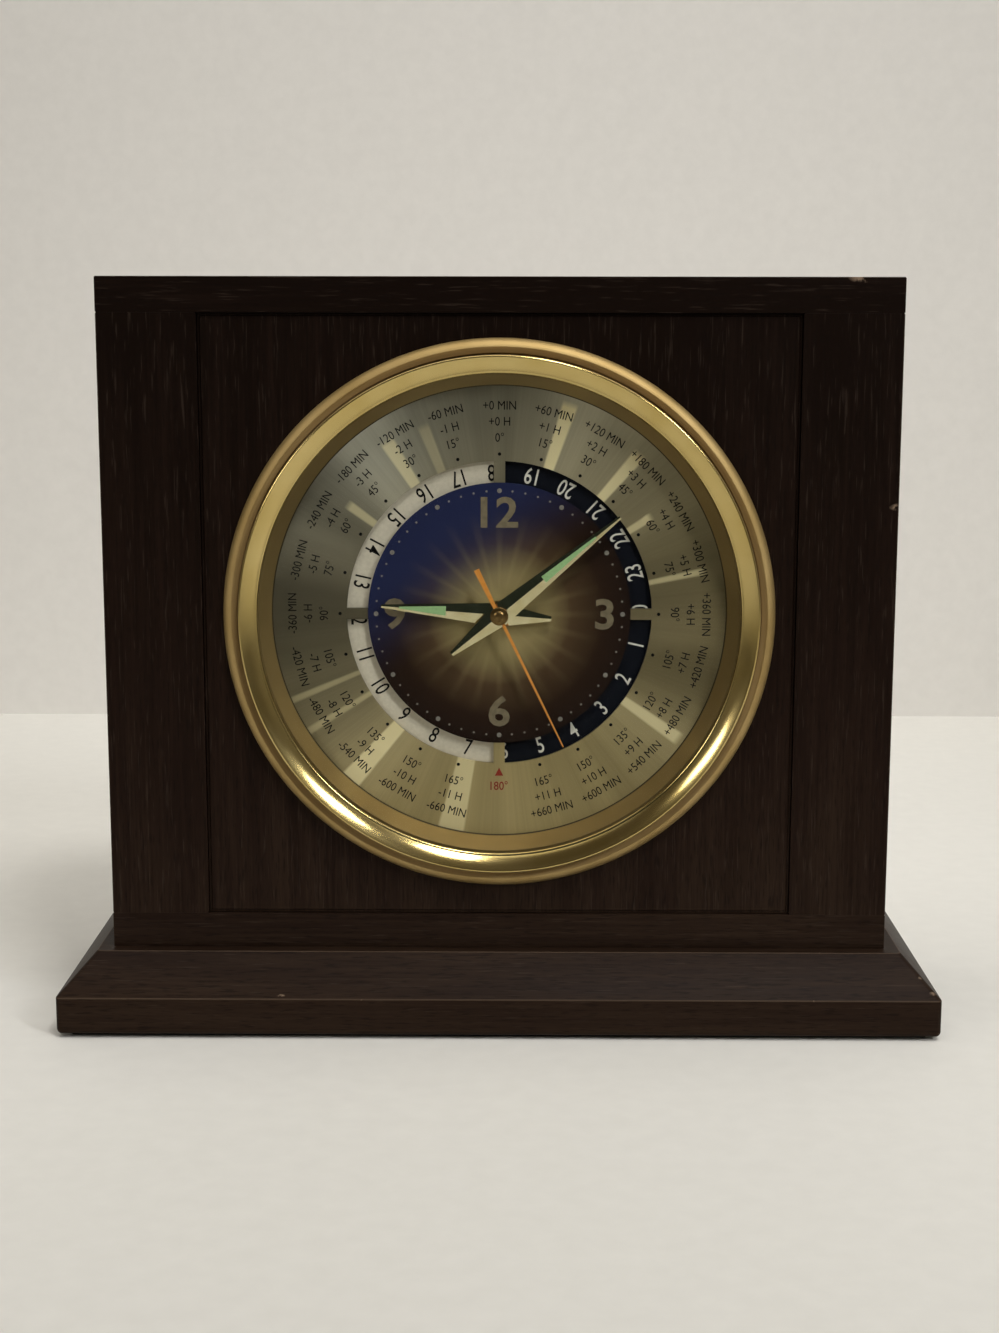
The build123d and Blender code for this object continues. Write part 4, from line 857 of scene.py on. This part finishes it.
def screws_of(node, head_height, shank):
    """Pan-head screws in place of a node's plain ones, their heads towards the back."""
    boxes = loose_boxes(node)
    low, high = boxes[0]
    head = (high.x - low.x) / 2 / MM
    length = (high.y - low.y) / MM
    outline = [
        *((across * head, -down * head_height) for across, down in SCREW_HEAD),
        (shank, -head_height), (shank, shank - length), (0, -length),
    ]
    finish = finishes["screw_steel"]
    screw = turned_piece("screw", outline, finish, 0.0, SCREW_SEGMENTS, about_y)
    pattern = bpy.data.objects.new("screw", screw)
    points = bpy.data.meshes.new("places")
    points.from_pydata([((a.x + b.x) / 2, b.y, (a.z + b.z) / 2) for a, b in boxes], [], [])
    mesh = grown_mesh(cross_screws, node + "_crossed", points, {
        "Screw": pattern, "Slot Length": SLOT_LENGTH * head * MM, "Slot Width": SLOT_WIDTH * head * MM,
        "Slot Depth": SLOT_DEPTH * head_height * MM, "Turn": SCREW_TURN, "Finish": finish,
    })
    bpy.data.objects.remove(pattern)
    mesh.shade_smooth()
    mesh.set_sharp_from_angle(angle=SHARP_TURN)
    add_piece(node + "_crossed", mesh, "cabinet", "screw_steel", node)


def bezel():
    """The ridged flange, the polished ring on it and the cone ring under the glass."""
    pocket = GLASS_RADIUS + POCKET_FIT
    seat = GLASS_BACK + GASKET
    ridge = (FLANGE_RADIUS - RIDGE_INSET, RIDGE_DEPTH)
    flange = turned_piece("satin_flange", [
        (FLANGE_RADIUS, 0), *swelled((FLANGE_RADIUS, -FLANGE_EDGE), ridge, FLANGE_SWELL),
        (GROOVE_RADIUS, RIDGE_DEPTH + RIDGE_FALL), (GROOVE_RADIUS, LEDGE_DEPTH), (pocket, LEDGE_DEPTH),
        (pocket, seat), (BORE_RADIUS, seat), (BORE_RADIUS, SKIRT_DEPTH), (SKIRT_RADIUS, SKIRT_DEPTH),
        (SKIRT_RADIUS, 0),
    ], finishes["satin_gold"])
    add_piece("satin_flange", flange, "cabinet", "satin_gold", "bezel_flange")
    crest = Vector((RING_RADIUS - RING_SHOULDER, RING_DEPTH))
    lip = Vector((RING_BORE, GLASS_FRONT - RING_LIP))
    bead = crest.lerp(lip, 1 - RING_BEAD_SHARE)
    shoulder = swelled((RING_RADIUS, RING_DEPTH + RING_SHOULDER), crest, SHOULDER_SWELL)
    ring = turned_piece("polished_ring", [
        (RING_RADIUS, LEDGE_DEPTH), *shoulder, *swelled(crest, bead, RING_SWELL)[1:],
        *swelled(bead, lip, BEAD_SWELL)[1:], (RING_BORE, GLASS_FRONT), (pocket, GLASS_FRONT),
        (pocket, LEDGE_DEPTH),
    ], finishes["polished_gold"], easing=0.0)
    add_piece("polished_ring", ring, "cabinet", "polished_gold", "bezel_ring")
    cone = turned_piece("inner_cone", [
        (PLATE_RADIUS, GLASS_BACK + CONE_TOP_GAP), (CONE_TOP, GLASS_BACK + CONE_TOP_GAP),
        (CONE_LOW, PLATE_DEPTH), (PLATE_RADIUS, PLATE_DEPTH),
    ], finishes["cone_bronze"], easing=0.0)
    add_piece("inner_cone", cone, "cabinet", "cone_bronze", "cone_ring")


def zone_figures():
    """Degrees, hours and minutes of each zone, round the brushed plate."""
    lines = []
    for zone in range(ZONES):
        if zone == ZONES // 2:
            continue
        angle = zone * ZONE_STEP
        hours = zone if zone < ZONES // 2 else zone - ZONES
        tops_out = math.cos(math.radians(angle)) > LOW_ZONE
        rows = [f"{hours * MINUTES:+d} MIN", f"{hours:+d} H", f"{abs(hours) * DEGREES_PER_HOUR}°"]
        for words, radius in zip(rows, ZONE_ROWS):
            lines.append((words, dial_matrix(radius, angle, PLATE_DEPTH, tops_out)))
    return lines


def hour_numerals():
    """The four upright numerals on the centre."""
    upright = dial_matrix(0, 0, CENTRE_DEPTH, True)
    lines = []
    for words, (angle, ring) in NUMERALS.items():
        shift = on_dial(ring, angle, 0) - on_dial(0, 0, 0)
        lines.append((words, Matrix.Translation(shift) @ upright))
    return lines


def dial_prints():
    """Everything printed on the dial plate and on the centre."""
    printed_lines(
        "zone_figures", zone_figures(), ZONE_FIGURE, ZONE_SQUEEZE, 0.0, print_black, "cabinet",
        "dial_metal",
    )
    half_turn = [("180°", dial_matrix(ZONE_ROWS[2], 180, PLATE_DEPTH, False))]
    printed_lines(
        "date_line_figure", half_turn, ZONE_FIGURE, ZONE_SQUEEZE, RED_WEIGHT, print_red, "cabinet",
        "dial_metal",
    )
    printed_dots(
        "zone_dots", ZONES, ZONE_DOT_RING, ZONE_DOT_RADIUS, PLATE_DEPTH, print_black, "dial_metal",
        left_out=ZONES * 3 // 4,
    )
    printed_dots(
        "minute_dots", MINUTES, MINUTE_DOT_RING, MINUTE_DOT_RADIUS, CENTRE_DEPTH, print_dim, "dial_print",
        large_every=HOUR_DOT_EVERY, large_scale=HOUR_DOT_SCALE,
    )
    printed_lines(
        "hour_numerals", hour_numerals(), NUMERAL_HEIGHT, NUMERAL_SQUEEZE, NUMERAL_WEIGHT, print_grey,
        "cabinet", "dial_print",
    )
    triangle = bmesh.new()
    corners = [(0.0, TRIANGLE_HALF), (-TRIANGLE_HALF, -TRIANGLE_HALF), (TRIANGLE_HALF, -TRIANGLE_HALF)]
    place = dial_matrix(TRIANGLE_RING, 180, PLATE_DEPTH, False)
    around = [triangle.verts.new(place @ Vector((x * MM, y * MM, 0))) for x, y in corners]
    face = triangle.faces.new(around)
    lifted = bmesh.ops.extrude_face_region(triangle, geom=[face])
    raised = [v for v in lifted["geom"] if isinstance(v, bmesh.types.BMVert)]
    bmesh.ops.translate(triangle, verts=raised, vec=(0, -PRINT_THICKNESS / 2 * MM, 0))
    bmesh.ops.recalc_face_normals(triangle, faces=triangle.faces)
    add_piece("date_line_mark", to_mesh(triangle, "date_line_mark", print_red), "cabinet", "dial_metal")


def disc_figures():
    """The 24 hours on the turning disc: dark figures on the day half, pale ones on the night half."""
    day, night = [], []
    for hour in range(ZONES):
        angle = (hour - TOP_HOUR) * ZONE_STEP + DISC_TURN
        half = day if math.sin(math.radians(angle - DISC_SPLIT)) < 0 else night
        half.append((str(hour), dial_matrix(DISC_FIGURE_RING, angle, DISC_DEPTH, False)))
    for name, lines, ink in (("day_hours", day, print_black), ("night_hours", night, print_white)):
        printed_lines(
            name, lines, DISC_FIGURE, DISC_SQUEEZE, DISC_WEIGHT, ink, "day_disc_body", "disc_print",
        )


def woodwork():
    """Boards with rounded edges, and the grain of each board along its length."""
    sides = {"left_side": upright_wood, "right_side": upright_wood}
    boards = {**sides, "top_board": level_wood, "bottom_board": level_wood}
    corners = [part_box(node) for node in boards]
    low = [min(box[0][i] for box in corners) for i in range(3)]
    high = [max(box[1][i] for box in corners) for i in range(3)]
    for node, wood in boards.items():
        own_low, own_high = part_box(node)
        eased_copy(node, node + "_wood", wood, "cabinet", "stained_wood", [
            (lambda edge: on_box_edge(edge, low, high), EDGE_EASING, CABINET_WEAR_AND_HIGHLIGHT),
            (lambda edge: on_box_edge(edge, own_low, own_high), JOINT_EASING, 0.0),
        ])

    def on_outside(edge):
        middle = (edge.verts[0].co + edge.verts[1].co) / 2
        return max(abs(middle.x) - high[0], abs(middle.y) - high[1]) > 0

    plinth_easing = [(on_outside, PLINTH_EASING, PLINTH_WEAR_AND_HIGHLIGHT)]
    eased_copy("plinth", "plinth_wood", level_wood, "cabinet", "stained_wood", plinth_easing)


def panel_joint():
    """Lacquer that has run into the joint round the front panel, and leaves a thin line open."""
    left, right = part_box("left_side")[1].x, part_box("right_side")[0].x
    bottom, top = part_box("bottom_board")[1].z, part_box("top_board")[0].z
    shape = bmesh.new()
    loops = []
    for inset, sink in (
        (JOINT_LINE, JOINT_SINK), (JOINT_WIDTH, JOINT_SINK),
        (JOINT_WIDTH, JOINT_DEPTH), (JOINT_LINE, JOINT_DEPTH),
    ):
        gap = inset * MM
        y = (PANEL_Y + sink) * MM
        corners = (
            (left + gap, bottom + gap), (right - gap, bottom + gap),
            (right - gap, top - gap), (left + gap, top - gap),
        )
        loops.append([shape.verts.new((x, y, z)) for x, z in corners])
    for loop, following in zip(loops, loops[1:] + loops[:1]):
        for i in range(len(loop)):
            j = (i + 1) % len(loop)
            shape.faces.new((loop[i], loop[j], following[j], following[i]))
    bmesh.ops.recalc_face_normals(shape, faces=shape.faces)
    mesh = to_mesh(shape, "panel_joint_lacquer", upright_wood)
    add_piece("panel_joint_lacquer", mesh, "cabinet", "stained_wood")


def rear_pieces():
    """The back panel, the movement's cover and its door, with the edges that face backwards rounded."""
    for node, body, slot, easing in REAR_EASINGS:
        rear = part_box(node)[1].y - REAR_REACH * MM
        easings = [(lambda edge: all(vertex.co.y > rear for vertex in edge.verts), easing, 0.0)]
        eased_copy(node, node + "_eased", finishes[slot], body, slot, easings)


def hub():
    """A domed cap over the second hand's collet."""
    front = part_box("second_hand")[0].y / MM - PANEL_Y
    outline = [(radius, front + behind) for radius, behind in HUB_OUTLINE]
    cap = turned_piece("hub_cap", outline, hub_bronze, easing=0.0, segments=HUB_SEGMENTS)
    add_piece("hub_cap", cap, "second_hand_body", "hand_orange")


def dress_nodes():
    """Give each node of the frame the finish of its slot."""
    for part in frame["record"]["subparts"]:
        node = frame["nodes"][part["node"]]
        slot = part["material_slot"]
        finish = upright_wood if slot == "stained_wood" else finishes[slot]
        if node.material_slots:
            for material_slot in node.material_slots:
                material_slot.material = finish
        else:
            node.data.materials.append(finish)


# Camera, fitted to the cabinet's corners in the photograph
IMAGE_HEIGHT = 1333
FOCAL_PIXELS = 2033.4
CAMERA_PLACE = (3.29, -523.1, 175.7)
CAMERA_YAW = 0.0064
CAMERA_PITCH = 0.1668
CAMERA_ROLL = -0.0016
SENSOR = 36.0


def photo_camera():
    """A camera at the photograph's viewing angle."""
    level = Vector((-math.sin(CAMERA_YAW), math.cos(CAMERA_YAW), 0))
    right = Vector((math.cos(CAMERA_YAW), math.sin(CAMERA_YAW), 0))
    top = Vector((0, 0, 1))
    ahead = level * math.cos(CAMERA_PITCH) - top * math.sin(CAMERA_PITCH)
    up = level * math.sin(CAMERA_PITCH) + top * math.cos(CAMERA_PITCH)
    image_x = right * math.cos(CAMERA_ROLL) - up * math.sin(CAMERA_ROLL)
    image_y = right * math.sin(CAMERA_ROLL) + up * math.cos(CAMERA_ROLL)
    lens = bpy.data.cameras.new("photo_camera")
    lens.sensor_fit = "VERTICAL"
    lens.sensor_height = SENSOR
    lens.lens = SENSOR * FOCAL_PIXELS / IMAGE_HEIGHT
    lens.clip_start = 0.01
    camera = bpy.data.objects.new("photo_camera", lens)
    turned = Matrix((image_x, image_y, -ahead)).transposed().to_4x4()
    camera.matrix_world = Matrix.Translation(Vector(CAMERA_PLACE) * MM) @ turned
    bpy.context.scene.collection.objects.link(camera)
    bpy.context.scene.camera = camera


def flat_stage(name, corners, material):
    """A flat stage piece through four corners in metres."""
    mesh = bpy.data.meshes.new(name)
    mesh.from_pydata(corners, [], [(0, 1, 2, 3)])
    mesh.materials.append(material)
    piece = bpy.data.objects.new(name, mesh)
    bpy.context.scene.collection.objects.link(piece)
    return piece


def softbox(name, place, aim, width, height, power, colour, spread):
    """An area lamp with a grid that keeps its light within a spread, facing a point."""
    light = bpy.data.lights.new(name, "AREA")
    light.shape = "RECTANGLE"
    light.size = width
    light.size_y = height
    light.energy = power
    light.spread = math.radians(spread)
    light.color = linear(colour)[:3]
    lamp = bpy.data.objects.new(name, light)
    away = Vector(aim) - Vector(place)
    lamp.matrix_world = Matrix.Translation(place) @ away.to_track_quat("-Z", "Y").to_matrix().to_4x4()
    bpy.context.scene.collection.objects.link(lamp)


# Room round the table, and its lamps as (name, place, aim, width, height, power, colour, spread)
BACK_WALL_M = 0.387
FRONT_WALL_M = -2.4
SIDE_WALL_M = 1.9
WALL_TOP_M = 1.6
CARD_M = -0.95
CARD_ACROSS_M = (-0.45, 0.2)
CARD_UP_M = (0.06, 0.5)
AIM_M = (0, 0.2, 0.12)
LAMPS = (
    ("left_window", (-1.05, -0.9, 0.6), AIM_M, 0.28, 0.34, 0.35, "#fffbf5", 62),
    ("right_window", (0.92, -0.98, 0.93), AIM_M, 0.26, 0.34, 1.0, "#f9fbff", 62),
    ("ceiling_lamp", (0.26, -0.6, 1.2), AIM_M, 0.25, 0.25, 0.9, "#fffdfa", 62),
    ("ceiling", (0.2, -0.12, 1.55), (0.2, 0.0, 0), 3.0, 1.0, 8.3, "#fffdfa", 130),
)


def one_sided_wall():
    """Pale plaster that shows on its front only, so that views from behind look through it."""
    material = mottled("plastered_wall", "#dedbd5", "#dad7d1", 5.0, (0.8, 0.9), relief=0.04)
    tree = material.node_tree
    behind = put(tree, "NewGeometry").outputs["Backfacing"]
    open_side = put(tree, "BsdfTransparent")
    plaster = tree.nodes["Principled BSDF"]
    mixed = put(tree, "MixShader", {0: behind, 1: plaster, 2: open_side})
    feed(tree, tree.nodes["Material Output"], {"Surface": mixed})
    return material


def studio():
    """A pale table and walls, soft lamps, and a slate card that shows only in reflections."""
    # Painted board: pale and nearly matt
    table = mottled("painted_table", "#e3e1da", "#dfddd6", 6.0, (0.6, 0.8))
    corners = [
        (-SIDE_WALL_M, BACK_WALL_M), (SIDE_WALL_M, BACK_WALL_M), (SIDE_WALL_M, FRONT_WALL_M),
        (-SIDE_WALL_M, FRONT_WALL_M),
    ]
    flat_stage("table", [(x, y, 0) for x, y in reversed(corners)], table)
    plaster = one_sided_wall()
    for name, start, end in zip(("back", "right", "front", "left"), corners, corners[1:] + corners[:1]):
        upright = [(*start, 0), (*end, 0), (*end, WALL_TOP_M), (*start, WALL_TOP_M)]
        flat_stage(name + "_wall", upright, plaster)
    # Woven cloth: dark and matt
    slate = mottled("slate_grey_cloth", "#3b484d", "#333f43", 4.0, (0.9, 1.0))
    low, high = CARD_UP_M
    across = CARD_ACROSS_M + CARD_ACROSS_M[::-1]
    card = flat_stage("dark_card", [(x, CARD_M, z) for x, z in zip(across, (low, low, high, high))], slate)
    card.visible_camera = False
    card.visible_diffuse = False
    card.visible_shadow = False
    for lamp in LAMPS:
        softbox(*lamp)
    world = bpy.data.worlds.new("dim_room")
    world.use_nodes = True
    feed(world.node_tree, world.node_tree.nodes["Background"], {"Color": "#c6b8a4", "Strength": 0.15})
    bpy.context.scene.world = world
    bpy.context.scene.view_settings.view_transform = "Standard"


dress_nodes()
woodwork()
panel_joint()
rear_pieces()
bezel()
dial_prints()
disc_figures()
hub()
for screw_row in SCREWS:
    screws_of(*screw_row)
studio()
photo_camera()

bpy.context.view_layer.update()
